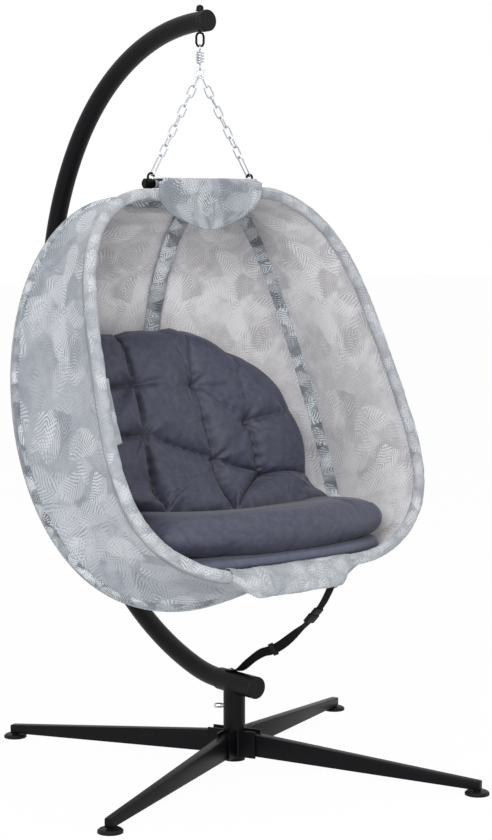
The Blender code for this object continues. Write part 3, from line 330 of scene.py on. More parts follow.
@dataclass(frozen=True)
class ZincPlate:
    """Bright zinc plate on drawn wire: a pale metal with faint cloudy passivation."""

    colour: str = "#D5D8DC"
    cloud: str = "#A9ADB3"
    cloud_mm: float = 6.0
    rough: Span = (0.18, 0.36)

    def material(self) -> Material:
        """The finish as a node material."""
        material, nodes, shader = start_material("zinc_plated_wire")
        place = nodes.add("TexCoord").outputs["Object"]
        cloud = nodes.speckle(place, self.cloud_mm, detail=3.0).outputs[0]
        nodes.connect(shader, {
            "Base Color": nodes.blend(cloud, linear(self.colour), linear(self.cloud)),
            "Metallic": 1.0,
            "Roughness": nodes.remap(cloud, UNIT, self.rough),
        })
        return material


@dataclass(frozen=True)
class Webbing:
    """Woven polypropylene webbing: black ribs along the strap, crossed by picks."""

    colour: str = "#060507"
    crest: str = "#131115"
    rib_mm: float = 2.6         # real ribs are about 1.3 mm; drawn coarser so that they show
    pick_mm: float = 2.0
    depth_mm: float = 0.5
    rough: float = 0.72
    gloss: float = 0.12

    def material(self) -> Material:
        """The finish as a node material, on the strap's own UV map in metres."""
        material, nodes, shader = start_material("black_webbing")
        place = nodes.add("TexCoord").outputs["UV"]
        ribs = nodes.bands(place, self.rib_mm, "X")
        weave = nodes.maths("MULTIPLY", ribs, nodes.bands(place, self.pick_mm, "Y"))
        nodes.connect(shader, {
            "Base Color": nodes.blend(weave, linear(self.colour), linear(self.crest)),
            "Roughness": self.rough,
            "Specular IOR Level": self.gloss,
        })
        nodes.bump(shader, weave, self.depth_mm)
        return material


@dataclass(frozen=True)
class PrintedCloth:
    """Plain-woven polyester with a tone-on-tone print of loose feathery sprigs."""

    name: str
    ground: str
    shade: str
    light: str
    strength: float = 0.85
    # colour of the painted shadow along a sewn seam
    seam: str = "#5F656D"
    sprig_mm: float = 130.0
    frond_mm: float = 12.0      # spacing of a sprig's strokes
    layers: int = 5
    crumple_mm: float = 0.0     # depth of the pulls in gathered cloth
    seam_mm: float = 0.0        # distance of a sewn seam from the cloth's first edge
    thread_mm: float = 2.2      # real threads are about 0.6 mm; drawn coarser so that they show
    depth_mm: float = 0.12
    cloud_mm: float = 45.0
    cloud_range: Span = (0.36, 0.64)
    cloud_share: float = 0.60   # of the shade, in the ground's darkest clouds
    sway_mm: float = 35.0
    sway: float = 0.015         # how far the print wanders from its drawing, in metres
    pull_mm: float = 16.0
    seam_shadow_strength: float = 0.6         # how strongly the painted shadow along a seam shows
    seam_shadow_half_width: float = 0.004
    # A sprig, in shares of its own size
    curl: float = 0.55
    slant: float = 1.1
    half_width: float = 0.30
    half_length: float = 0.60
    stroke_edge: Span = (0.20, 0.32)
    sprig_edge: Span = (0.55, 1.0)
    layer_shift: tuple = (0.37, 0.61, 0.0)
    layer_turn: float = 0.9

    def sprigs(self, nodes: Nodes, place: Socket, shift: Vector, turn: float) -> tuple[Socket, Socket]:
        """One scatter of sprigs, each turned its own way.

        Args:
            nodes: the finish's nodes.
            place: coordinates on the cloth, in metres.
            shift: where the scatter starts.
            turn: how far it is turned, in radians.

        Returns:
            Sockets of the strokes' mask, and of each sprig's own random tone.
        """
        scale = per_metre(self.sprig_mm)
        spread = nodes.add("Mapping", {"Vector": place, "Location": shift, "Rotation": (0.0, 0.0, turn),
                                       "Scale": (scale, scale, scale)}).outputs[0]
        cells = nodes.add("TexVoronoi", {"Vector": spread, "Scale": 1.0, "Randomness": 0.9},
                    voronoi_dimensions="2D")
        tones = nodes.add("SeparateColor", {0: cells.outputs["Color"]})
        away = nodes.add("VectorMath", {0: spread, 1: cells.outputs["Position"]}, operation="SUBTRACT")
        angle = nodes.maths("MULTIPLY", tones.outputs[0], math.tau)
        turned = nodes.add("VectorRotate", {"Vector": away.outputs[0], "Angle": angle},
                     rotation_type="Z_AXIS")
        axes = nodes.add("SeparateXYZ", {0: turned.outputs[0]})
        stem = axes.outputs[0]
        bent = nodes.maths("MULTIPLY_ADD", nodes.maths("MULTIPLY", stem, stem), self.curl, axes.outputs[1])
        across = nodes.maths("ABSOLUTE", bent)
        lead = nodes.maths("MULTIPLY_ADD", across, -self.slant, stem)
        wave = nodes.maths("PINGPONG", nodes.maths("MULTIPLY", lead, self.sprig_mm / self.frond_mm), 0.5)
        stroke = nodes.remap(wave, self.stroke_edge, (1.0, 0.0), "SMOOTHSTEP")
        wide = nodes.maths("DIVIDE", across, self.half_width)
        long = nodes.maths("DIVIDE", stem, self.half_length)
        reach = nodes.maths("ADD", nodes.maths("MULTIPLY", wide, wide), nodes.maths("MULTIPLY", long, long))
        inside = nodes.remap(reach, self.sprig_edge, (1.0, 0.0), "SMOOTHSTEP")
        return nodes.maths("MULTIPLY", stroke, inside), tones.outputs[1]

    def material(self) -> Material:
        """The finish as a node material, on the cloth's own UV map in metres."""
        material, nodes, shader = start_material(self.name)
        place = nodes.add("TexCoord").outputs["UV"]
        wander = nodes.speckle(place, self.cloud_mm, detail=6.0, roughness=0.65).outputs[0]
        cloudy = nodes.remap(wander, self.cloud_range, (0.0, self.cloud_share))
        colour = nodes.blend(cloudy, linear(self.ground), linear(self.shade))
        sway = nodes.speckle(place, self.sway_mm, detail=1.0).outputs["Color"]
        loose = nodes.add("VectorMath", {0: sway, 1: (self.sway, self.sway, 0.0), 2: place},
                    operation="MULTIPLY_ADD").outputs[0]
        for step in range(self.layers):
            mask, tone = self.sprigs(nodes, loose, Vector(self.layer_shift) * step, self.layer_turn * step)
            ink = nodes.blend(tone, linear(self.shade), linear(self.light))
            colour = nodes.blend(nodes.maths("MULTIPLY", mask, self.strength), colour, ink)
        # painted shadow: a thin dark line along the seam
        if self.seam_mm:
            across = nodes.add("SeparateXYZ", {0: place}).outputs[0]
            line = nodes.maths("COMPARE", across, self.seam_mm / 1000.0, self.seam_shadow_half_width)
            shadow = nodes.maths("MULTIPLY", line, self.seam_shadow_strength)
            colour = nodes.blend(shadow, colour, linear(self.seam))
        nodes.connect(shader, {"Base Color": colour, "Roughness": 0.82, "Sheen Weight": 0.15,
                               "Sheen Roughness": 0.6})
        warp = nodes.bands(place, self.thread_mm, "X", 0.6)
        weave = nodes.maths("ADD", warp, nodes.bands(place, self.thread_mm, "Y", 0.6))
        if self.crumple_mm:
            pulls = nodes.speckle(place, self.pull_mm, detail=3.0, distortion=0.8).outputs[0]
            weave = nodes.maths("MULTIPLY_ADD", pulls, self.crumple_mm / self.depth_mm, weave)
        nodes.bump(shader, weave, self.depth_mm)
        return material


@dataclass(frozen=True)
class CushionCloth:
    """Smooth microfibre over loose filling: slate grey with a soft sheen and fine pulls in the cloth."""

    name: str
    colour: str
    light: str
    crease: str = "#14141C"     # painted shade: the dark colour that the cloth is drawn towards deep in its creases
    thread_mm: float = 1.6      # real threads are about 0.3 mm; drawn coarser so that they show
    thread_share: float = 0.25
    pull_mm: float = 18.0
    depth_mm: float = 0.9

    def material(self) -> Material:
        """The finish as a node material, with painted shade deep in the cushion's creases."""
        material, nodes, shader = start_material(self.name)
        place = nodes.add("TexCoord").outputs["Object"]
        thread = nodes.speckle(place, self.thread_mm).outputs[0]
        pulls = nodes.speckle(place, self.pull_mm, detail=5.0, roughness=0.6).outputs[0]
        share = nodes.remap(pulls, (0.3, 0.7), UNIT)
        colour = nodes.blend(share, linear(self.colour), linear(self.light))
        # painted shade: the colour is darkened towards the crease colour by how deep in a crease each point
        # lies
        fold = nodes.add("Attribute", attribute_name=CREASE_SHADE).outputs["Fac"]
        colour = nodes.blend(fold, colour, linear(self.crease))
        nodes.connect(shader, {"Base Color": colour, "Roughness": 0.60, "Sheen Weight": 0.10,
                               "Sheen Roughness": 0.45})
        nodes.bump(shader, nodes.maths("MULTIPLY_ADD", thread, self.thread_share, pulls), self.depth_mm)
        return material


# Meshes

def clamp(value: float) -> float:
    """A value held between 0 and 1."""
    return min(1.0, max(0.0, value))


def ease(share: float) -> float:
    """A share from 0 to 1 that starts and stops gently."""
    return share * share * (3.0 - 2.0 * share)


def wobble(x: float, y: float, z: float) -> float:
    """Smooth noise about 0, the same in every run."""
    return noise.noise(Vector((x, y, z)))


def place_object(name: str, data: bpy.types.ID) -> Object:
    """A new object of some data, linked to the scene."""
    made = bpy.data.objects.new(name, data)
    bpy.context.scene.collection.objects.link(made)
    return made


def mapped_grid(columns: int, rows: int, place: Place, size: tuple[float, float],
                around: bool = False, along: bool = False, cut: bool = False) -> Form:
    """A grid laid on a surface.

    Args:
        columns: faces across.
        rows: faces along.
        place: the surface's point at a share across and a share along.
        size: width and length of the cloth in metres, for the UV map.
        around: whether the last column meets the first.
        along: whether the last row meets the first.
        cut: whether the cloth is cut to each row's own width, so that its print isn't drawn in with it.

    Returns:
        The mesh being edited.
    """
    form = bmesh.new()
    uv = form.loops.layers.uv.new("UVMap")
    bmesh.ops.create_grid(form, x_segments=columns, y_segments=rows, size=0.5, calc_uvs=True)
    widths: dict[float, float] = {}
    for face in form.faces:
        for loop in face.loops:
            share, row = loop.vert.co.x + 0.5, loop.vert.co.y + 0.5
            if row not in widths:
                widths[row] = (place(1.0, row) - place(0.0, row)).length if cut else size[0]
            loop[uv].uv = (share * widths[row], row * size[1])
    for corner in form.verts:
        corner.co = place(corner.co.x + 0.5, corner.co.y + 0.5)
    if around or along:
        bmesh.ops.remove_doubles(form, verts=form.verts, dist=1e-6)
    return form


def face_away(form: Form, inside: Callable[[Vector], Vector]) -> None:
    """Turns an open surface's faces to look away from its inside.

    Args:
        form: the mesh being edited.
        inside: the inner point that belongs to a point of the surface.
    """
    form.normal_update()
    total = sum((face.calc_center_median() - inside(face.calc_center_median())).dot(face.normal)
                for face in form.faces)
    if total < 0.0:
        bmesh.ops.reverse_faces(form, faces=form.faces)


def close(form: Form) -> None:
    """Caps a tube's open ends and turns its faces outwards."""
    ends = [edge for edge in form.edges if edge.is_boundary]
    if ends:
        bmesh.ops.holes_fill(form, edges=ends, sides=0)
    bmesh.ops.recalc_face_normals(form, faces=form.faces)


def make_piece(name: str, form: Form, materials: Sequence[Material],
               slot: Slot) -> Object:
    """Makes an object of a mesh being edited.

    Args:
        name: the piece's name.
        form: the mesh being edited, which is freed.
        materials: its materials, in order.
        slot: the record's slot; not used.

    Returns:
        The object, smooth-shaded and linked to the scene.
    """
    mesh = bpy.data.meshes.new(name)
    form.to_mesh(mesh)
    form.free()
    mesh.shade_smooth()
    for material in materials:
        mesh.materials.append(material)
    made = place_object(name, mesh)
    log.info("%s: %d faces", name, len(mesh.polygons))
    return made


def thicken(made: Object, thickness: float, offset: float = 0.0, lining: int = 0) -> None:
    """Gives a sheet its thickness.

    Args:
        made: the sheet.
        thickness: in metres.
        offset: from -1, inwards, to 1, outwards.
        lining: how many material slots further the inner side's material is.
    """
    wall = made.modifiers.new("thickness", "SOLIDIFY")
    wall.thickness = thickness
    wall.offset = offset
    wall.material_offset = lining


def subdivide(made: Object) -> None:
    """Smooths a piece with one level of a subdivision surface."""
    smooth = made.modifiers.new("smooth", "SUBSURF")
    smooth.levels = 1
    smooth.render_levels = 1


def surface_area(form: Form) -> float:
    """Area of a mesh being edited."""
    return sum(face.calc_area() for face in form.faces)


class Track:
    """A line to sweep a section along, with the direction that faces out of it at each point."""

    def __init__(self, points: Sequence[Vector], out: Callable[[Vector], Vector],
                 stops: Optional[Sequence[float]] = None) -> None:
        """Keeps the line.

        Args:
            points: points close together along the line.
            out: the outward direction at a point.
            stops: each point's share of the way, by length if not given.
        """
        self.points = np.array([tuple(point) for point in points])
        steps = np.linalg.norm(np.diff(self.points, axis=0), axis=1)
        self.length = float(steps.sum())
        lengths = np.concatenate(([0.0], np.cumsum(steps))) / self.length
        self.stops = lengths if stops is None else np.array(stops)
        self.out = out

    def point(self, share: float) -> Vector:
        """The point at a share of the way."""
        return Vector([np.interp(share, self.stops, self.points[:, axis]) for axis in range(3)])

    def axes(self, share: float) -> tuple[Vector, Vector, Vector, Vector]:
        """Point, and the directions along, sideways and out, at a share of the way."""
        step = 0.004
        point = self.point(share)
        along = (self.point(min(1.0, share + step)) - self.point(max(0.0, share - step))).normalized()
        out = self.out(point)
        out = (out - along * out.dot(along)).normalized()
        return point, along, along.cross(out), out


def smooth_line(route: Sequence[Vector], before: Vector, after: Vector, count: int = 60) -> list[Vector]:
    """Points close together on a smooth curve along a route.

    Args:
        route: the points that the curve goes through.
        before: a point that it comes from.
        after: a point that it goes on to.
        count: how many steps it takes.

    Returns:
        The curve's points.
    """
    stops = [before, *route, after]
    spans = len(stops) - 3
    points = []
    for index in range(count + 1):
        place = min(spans * index / count, spans - 1e-9)
        a, b, c, d = stops[int(place):int(place) + 4]
        t = place - int(place)
        curve = (a * 2 - b * 5 + c * 4 - d) * t ** 2 + (b * 3 - a - c * 3 + d) * t ** 3
        points.append((b * 2 + (c - a) * t + curve) / 2)
    return points


def round_skin(track: Track, radius: Callable[[float, float], float], usual: float,
               grid: tuple[int, int]) -> Form:
    """A round skin along a line, with open ends.

    Args:
        track: the line.
        radius: its radius at a turn about the line and a share along it.
        usual: its usual radius, for the UV map.
        grid: faces round it and along it.

    Returns:
        The mesh being edited.
    """
    def place(u: float, v: float) -> Vector:
        """Point of the skin at a share round it and a share along."""
        point, _, side, out = track.axes(v)
        turn = math.tau * u
        return point + (side * math.cos(turn) + out * math.sin(turn)) * radius(turn, v)

    return mapped_grid(*grid, place, (math.tau * usual, track.length), around=True)


def cut_cube(cuts: tuple[int, int, int]) -> Form:
    """A cube from -1 to 1, cut across into a fine grid.

    Args:
        cuts: how many cuts there are along each axis.

    Returns:
        The mesh being edited.
    """
    form = bmesh.new()
    bmesh.ops.create_cube(form, size=2.0)
    for axis, count in enumerate(cuts):
        edges = [edge for edge in form.edges if abs(edge.verts[0].co[axis] - edge.verts[1].co[axis]) > 1.0]
        bmesh.ops.subdivide_edges(form, edges=edges, cuts=count, use_grid_fill=True)
    return form


def long_ring(centre: Vector, across: Vector, along: Vector, half_width: float, length: float,
              wire: float, steps: int = 40, sides: int = 12) -> Form:
    """A closed wire loop with straight sides and round ends.

    Args:
        centre: its middle.
        across: unit direction of its width.
        along: unit direction of its length.
        half_width: half the width between its wire's centres.
        length: its length between its wire's centres.
        wire: the wire's radius.
        steps: how many steps go round it.
        sides: how many sides the wire has.

    Returns:
        The mesh being edited.
    """
    straight = length - 2 * half_width
    whole = 2 * straight + math.tau * half_width
    normal = across.cross(along)

    def middle(share: float) -> tuple[Vector, Vector]:
        """Point of the wire's centre line, and the direction out of the loop there."""
        run = (share % 1.0) * whole
        end = 1.0
        if run >= whole / 2:
            run -= whole / 2
            end = -1.0
        if run < straight:
            outward = across * end
            return centre + outward * half_width + along * (end * (run - straight / 2)), outward
        turn = (run - straight) / half_width
        outward = (across * math.cos(turn) + along * math.sin(turn)) * end
        return centre + along * (end * straight / 2) + outward * half_width, outward

    def place(u: float, v: float) -> Vector:
        """Point of the wire's skin."""
        point, outward = middle(v)
        return point + (outward * math.cos(math.tau * u) + normal * math.sin(math.tau * u)) * wire

    form = mapped_grid(sides, steps, place, (math.tau * wire, whole), around=True, along=True)
    bmesh.ops.recalc_face_normals(form, faces=form.faces)
    return form


def join_forms(forms: Iterable[Form]) -> Form:
    """Puts several meshes into one, and frees them."""
    whole = bmesh.new()
    whole.loops.layers.uv.new("UVMap")
    for form in forms:
        mesh = bpy.data.meshes.new("joined")
        form.to_mesh(mesh)
        form.free()
        whole.from_mesh(mesh)
        bpy.data.meshes.remove(mesh)
    return whole


def rounded_block(size: tuple[float, float, float], place: Matrix, width: float) -> Form:
    """A moulded block with rounded edges.

    Args:
        size: its length along each axis.
        place: where its middle goes, and how it is turned.
        width: how far the rounding reaches in from an edge.

    Returns:
        The mesh being edited.
    """
    form = bmesh.new()
    form.loops.layers.uv.new("UVMap")
    bmesh.ops.create_cube(form, size=1.0)
    bmesh.ops.scale(form, vec=Vector(size), verts=form.verts)
    bmesh.ops.bevel(form, geom=form.edges, offset=width, segments=3, profile=0.5, affect="EDGES", material=-1)
    bmesh.ops.transform(form, matrix=place, verts=form.verts)
    return form


def node_points(name: str) -> np.ndarray:
    """All points of a node of the frame."""
    return np.array([tuple(vertex.co) for vertex in frame["nodes"][name].data.vertices])


def wire_frame_of(name: str) -> tuple[Vector, list[Vector], list[float]]:
    """Middle, main directions and extents of a node, longest first."""
    points = np.unique(node_points(name).round(6), axis=0)
    values, directions = np.linalg.eigh(np.cov((points - points.mean(0)).T))
    order = np.argsort(values)[::-1]
    axes = [Vector(directions[:, index]).normalized() for index in order]
    spans = []
    centre = Vector((0.0, 0.0, 0.0))
    for axis in axes:
        reach = points @ np.array(axis)
        spans.append(float(reach.max() - reach.min()))
        centre += axis * float(reach.max() + reach.min()) / 2
    return centre, axes, spans


def crease(made: Object, degrees: float) -> None:
    """Keeps a smooth piece's edges crisp where they are sharper than an angle."""
    split = made.modifiers.new("crease", "EDGE_SPLIT")
    split.split_angle = math.radians(degrees)


def dress_node(name: str, material: Material) -> None:
    """Gives a node of the frame its finish, smooth faces and crisp edges.

    Args:
        name: the node.
        material: its finish.
    """
    node = frame["nodes"][name]
    node.data.materials.clear()
    node.data.materials.append(material)
    node.data.shade_smooth()
    weld = node.modifiers.new("weld", "WELD")
    weld.merge_threshold = 1e-5
    crease(node, 38.0)


def joint_named(name: str) -> dict:
    """A joint of the frame."""
    return next(joint for joint in frame["joints"] if joint["name"] == name)


# The pod's frame

@dataclass(frozen=True)
class Hoop:
    """A bent half-hoop of the pod: its heading from the side towards the back, its size and its shape."""

    name: str
    heading: float
    reach: float
    rise: float
    taper: float
    waist: float
    power: float
    level: int

    def radius(self, turn: float) -> float:
        """Distance from the pod's axis at a turn from 0 at the top to pi at the bottom."""
        wave = 1.0 + self.taper * math.cos(turn) + self.waist * math.cos(2.0 * turn)
        return self.reach * math.sin(turn) ** self.power * wave

    def turn_at(self, radius: float, low: float, high: float) -> float:
        """The turn between low and high at which the hoop is this far from the axis."""
        for _ in range(50):
            middle = (low + high) / 2
            if self.radius(middle) < radius:
                low = middle
            else:
                high = middle
        return high


@dataclass(frozen=True)
class PodFrame:
    """The pod's axis, which the folding joints give, and its half-hoops."""

    rod_start: float = 0.095
    tab_start: float = 0.030
    lift_fade: float = 0.25
    top_pivot: float = 0.482
    bottom_pivot: float = -0.511
    tab_pitch: float = 0.0044
    bar_rise: float = 0.043
    bar_depth: float = 0.015
    bar_radius: float = 0.010
    steps: int = 90
    tab_steps: int = 4
    easing: int = 5
    middle: Vector = field(default_factory=lambda: Vector(joint_named("right_rib_fold")["pos_m"]))
    axis: Vector = field(default_factory=lambda: Vector(joint_named("right_rib_fold")["axis"]).normalized())

    @property
    def back(self) -> Vector:
        """Direction from the plane of the mouth towards the back."""
        return self.axis.cross(X_AXIS)

    def at(self, across: float, along: float, depth: float) -> Vector:
        """A point of the pod: across, along its axis and behind its mouth."""
        return self.middle + X_AXIS * across + self.axis * along + self.back * depth

    def out(self, point: Vector) -> Vector:
        """Unit direction from the pod's middle to a point."""
        return (point - self.middle).normalized()

    def inside(self, point: Vector) -> Vector:
        """The point of the axis nearest to a point."""
        return self.middle + self.axis * (point - self.middle).dot(self.axis)

    def top_bar(self, across: float) -> Vector:
        """A point on the top bar's axis."""
        return self.at(across, self.top_pivot + self.bar_rise, self.bar_depth)

    def bottom_bar(self, across: float) -> Vector:
        """A point on the bottom bar's axis."""
        return self.at(across, self.bottom_pivot - self.bar_rise, -self.bar_depth)

    def track(self, hoop: Hoop, side: int) -> Track:
        """A half-hoop's line, from near the top pivot to near the bottom one.

        Args:
            hoop: the half-hoop.
            side: 1 on the right and -1 on the left.

        Returns:
            The line, in shares that match between hoops.
        """
        top = hoop.turn_at(self.rod_start, 0.0, math.pi / 2)
        bottom = hoop.turn_at(self.rod_start, math.pi, math.pi / 2)
        level = hoop.level * side * self.tab_pitch
        lifts = (self.top_pivot + level - hoop.rise * math.cos(top),
                 self.bottom_pivot + level - hoop.rise * math.cos(bottom))
        tab_length = self.rod_start - self.tab_start
        tab = [self.tab_start + tab_length * index / self.tab_steps for index in range(self.tab_steps)]
        line = [(radius, self.top_pivot + level) for radius in tab]
        for index in range(self.steps + 1):
            turn = top + (bottom - top) * index / self.steps
            radius = hoop.radius(turn)
            near = max(0.0, 1.0 - (radius - self.rod_start) / self.lift_fade) ** 2
            lift = lifts[0] if turn < math.pi / 2 else lifts[1]
            line.append((radius, hoop.rise * math.cos(turn) + lift * near))
        line += [(radius, self.bottom_pivot + level) for radius in reversed(tab)]
        for _ in range(self.easing):
            trios = zip(line, line[1:], line[2:])
            eased = [tuple((a + 2 * b + c) / 4 for a, b, c in zip(*trio)) for trio in trios]
            line = [line[0], *eased, line[-1]]
        last = len(line) - 1
        stops = [index / last for index in range(last + 1)]
        sideways = math.cos(hoop.heading) * side
        deep = math.sin(hoop.heading)
        points = [self.at(radius * sideways, along, radius * deep) for radius, along in line]
        return Track(points, self.out, stops)


RIM = Hoop("rim", 0.0, 0.5833, 0.5408, -0.1034, 0.1863, 1.0, 2)
RIB = Hoop("rib", math.radians(36.1), 0.602, 0.5543, -0.076, -0.012, 0.5, 1)
SPINE = Hoop("spine", math.radians(90.0), 0.470, 0.5408, -0.25, 0.0, 1.2, 0)


@dataclass(frozen=True)
class Gathers:
    """Creases of cloth drawn up along a half-hoop: fine gathers, and broader crumples across them."""

    fine: float
    fine_pitch: float
    fine_spread: float          # how soon the gathers change round the sleeve
    broad: float
    broad_pitch: float
    broad_spread: float

    def at(self, run: float, turn: float, seed: float) -> tuple[float, float]:
        """The gathers and the crumples, each from -1 to 1, at a distance along a sleeve and a turn on it."""
        side, out = math.cos(turn), math.sin(turn)
        fine = wobble(run / self.fine_pitch, side * self.fine_spread, out * self.fine_spread + seed)
        broad = wobble(run / self.broad_pitch, side * self.broad_spread + seed, out * self.broad_spread)
        return fine, broad


BAND_GATHERS = Gathers(0.0034, 0.016, 0.7, 0.0030, 0.045, 1.6)
RIM_GATHERS = Gathers(0.0011, 0.013, 0.8, 0.0016, 0.05, 1.2)


@dataclass
class Shell:
    """The pod's cloth: four panels between the half-hoops, and the gathered sleeves that hold the hoops."""

    pod: PodFrame
    cloth: Material
    lining: Material
    casing: Material
    edging: Material
    thickness: float = 0.002
    panel_grid: tuple = (56, 150)
    bow: float = 0.018
    ripple: float = 0.0032
    ripple_pitch: float = 0.034     # along the seam
    ripple_length: float = 0.16     # away from it
    ripple_fade: float = 0.07
    seam_width: float = 0.012
    cover: float = 0.0116           # how far out the cloth lies where it covers a half-hoop
    cover_fade: float = 0.045
    billow: float = 0.006
    pull: float = 0.006             # creases drawn towards the pivots
    pull_pitch: float = 0.045
    top_pull_fade: float = 0.16     # share of the way down
    low_pull: float = 0.6           # at the bottom, against the top
    low_pull_fade: float = 0.12
    take_up: float = 1.02           # cut length, against the length that shows
    band_grid: tuple = (28, 420)
    band_half_width: float = 0.025
    band_inward: float = 0.0165
    band_outward: float = 0.0094
    band_girth: float = 4.4         # in half widths
    band_lens: float = 1.35         # power of its section
    band_waver: float = 0.07        # of its width
    band_ends: Span = (0.30, 0.10)  # share of its width at its ends, and of its length in which it widens
    band_keep: float = 0.35         # share of its width that a folded band keeps
    rim_grid: tuple = (24, 460)
    rim_radius: float = 0.0150
    rim_ends: Span = (0.56, 0.14)
    rim_keep: float = 0.58

    def build(self) -> None:
        """Makes all the shell's cloth."""
        spine = self.sleeve("spine_sleeve", SPINE, 1, "core", 3.0)
        for side in Side:
            rib_body, rim_body = f"{side.word}_rib", f"{side.word}_rim"
            rib = self.sleeve(f"{side.word}_rib_sleeve", RIB, side.value, rib_body, 11.0 * side.value)
            rim = self.rim_sleeve(side)
            self.panel(side, "side", RIM, RIB, rim_body, rib_body)
            self.panel(side, "back", RIB, SPINE, rib_body, "core")

    def panel(self, side: Side, word: str, first: Hoop, second: Hoop, body: str, other: str) -> None:
        """One panel stretched between two half-hoops, with ripples where it is sewn to their sleeves.

        Args:
            side: the side of the pod.
            word: which of the side's panels it is.
            first: the half-hoop at its front.
            second: the half-hoop at its back.
            body: the body of the first.
            other: the body of the second.
        """
        front = self.pod.track(first, side.value)
        rear = self.pod.track(second, side.value)
        seed = 7.0 * side.value + 3.0 * len(word)
        length = front.length

        def place(u: float, v: float) -> Vector:
            """Point of the cloth at a share back and a share down."""
            start = front.point(v)
            span = rear.point(v) - start
            point = start + span * u
            out = self.pod.out(point)
            swell = math.sin(math.pi * v)
            inner = 4.0 * u * (1.0 - u)
            lift = -self.bow * inner * swell
            for away in (u * span.length, (1.0 - u) * span.length):
                gather = wobble(v * length / self.ripple_pitch, away / self.ripple_length, seed)
                fade = math.exp(-away / self.ripple_fade) * min(1.0, away / self.seam_width)
                lift += self.ripple * gather * fade
                lift += self.cover * math.exp(-away / self.cover_fade)
            broad = wobble(u * 2.2 + seed, v * 4.0, seed)
            lift += self.billow * broad * inner * swell
            ends = math.exp(-v / self.top_pull_fade)
            ends += self.low_pull * math.exp(-(1.0 - v) / self.low_pull_fade)
            pull = wobble(u * 1.3 + seed, v * length / self.pull_pitch + 3.0 * u, seed)
            lift += self.pull * pull * ends * inner
            return point + out * lift

        wide = max((rear.point(v / 20) - front.point(v / 20)).length for v in range(21))
        form = mapped_grid(*self.panel_grid, place, (wide, length), cut=True)
        face_away(form, self.pod.inside)
        area = surface_area(form)
        node = f"{side.word}_{word}_panel"
        made = make_piece(f"{side.word}_{word}_cloth", form, (self.cloth, self.lining), Slot.SHELL)
        thicken(made, self.thickness, 0.0, 1)
        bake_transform(made, body, other, start=front.point(0.5), end=rear.point(0.5))
        self.fan(made, first, second, side.value)
        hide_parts(node)

    def fan(self, made: Object, first: Hoop, second: Hoop, side: int) -> None:
        """Lets a panel close like a fan, by each point's own turn about the pod's axis."""
        values = []
        for vertex in made.data.vertices:
            offset = vertex.co - self.pod.middle
            turn = math.atan2(offset.dot(self.pod.back), offset.x * side)
            values.append(clamp((turn - first.heading) / (second.heading - first.heading)))
        made.data.attributes[BLEND].data.foreach_set("value", values)

    def sleeve(self, name: str, hoop: Hoop, side: int, body: str, seed: float) -> Object:
        """A flat gathered sleeve over a half-hoop, sewn to the shell along both its edges.

        Args:
            name: the piece's name.
            hoop: the half-hoop inside it.
            side: 1 on the right and -1 on the left.
            body: the body it moves with.
            seed: what sets its creases apart from another's.

        Returns:
            The sleeve.
        """
        track = self.pod.track(hoop, side)

        def place(u: float, v: float) -> Vector:
            """Point of the sleeve's skin at a share round it and a share down."""
            point, _, sideways, out = track.axes(v)
            ends = self.widened(v, self.band_ends)
            turn = math.tau * u
            fine, broad = BAND_GATHERS.at(v * track.length, turn, seed)
            wide = self.band_half_width * ends * (1.0 + self.band_waver * broad)
            lens = abs(math.sin(turn)) ** self.band_lens
            if math.sin(turn) > 0.0:
                return point + sideways * (wide * math.cos(turn)) + out * (self.band_outward * lens)
            deep = self.band_inward * (0.5 + 0.5 * ends)
            deep += BAND_GATHERS.fine * fine + BAND_GATHERS.broad * broad
            return point + sideways * (wide * math.cos(turn)) - out * (deep * lens)

        size = (self.band_girth * self.band_half_width, track.length)
        form = mapped_grid(*self.band_grid, place, size, around=True)
        close(form)
        made = make_piece(name, form, (self.casing,), Slot.SHELL)
        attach(made, body)
        self.press(made, self.band_keep)
        return made

    @staticmethod
    def widened(share: float, ends: Span) -> float:
        """Share of a sleeve's full width at a share of its length, from its width at the ends."""
        return min(1.0, ends[0] + min(share, 1.0 - share) / ends[1])

    def press(self, made: Object, keep: float) -> None:
        """Gives a sleeve its own copy of its mesh.

        Args:
            made: the sleeve.
            keep: the share of its width that is left when pressed; not used.
        """
        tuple(self.pod.middle)
        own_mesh(made)

    def rim_sleeve(self, side: Side) -> Object:
        """The round gathered sleeve over a half-hoop of the mouth.

        Args:
            side: the side of the pod.

        Returns:
            The sleeve.
        """
        track = self.pod.track(RIM, side.value)
        seed = 23.0 * side.value

        def skin(turn: float, share: float) -> float:
            """Radius of the sleeve's skin at a turn round it and a share down."""
            fine, broad = RIM_GATHERS.at(share * track.length, turn, seed)
            radius = self.rim_radius + RIM_GATHERS.fine * fine + RIM_GATHERS.broad * broad
            return radius * self.widened(share, self.rim_ends)

        form = round_skin(track, skin, self.rim_radius, self.rim_grid)
        close(form)
        made = make_piece(f"{side.word}_rim_sleeve", form, (self.edging,), Slot.SHELL)
        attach(made, f"{side.word}_rim")
        self.press(made, self.rim_keep)
        return made


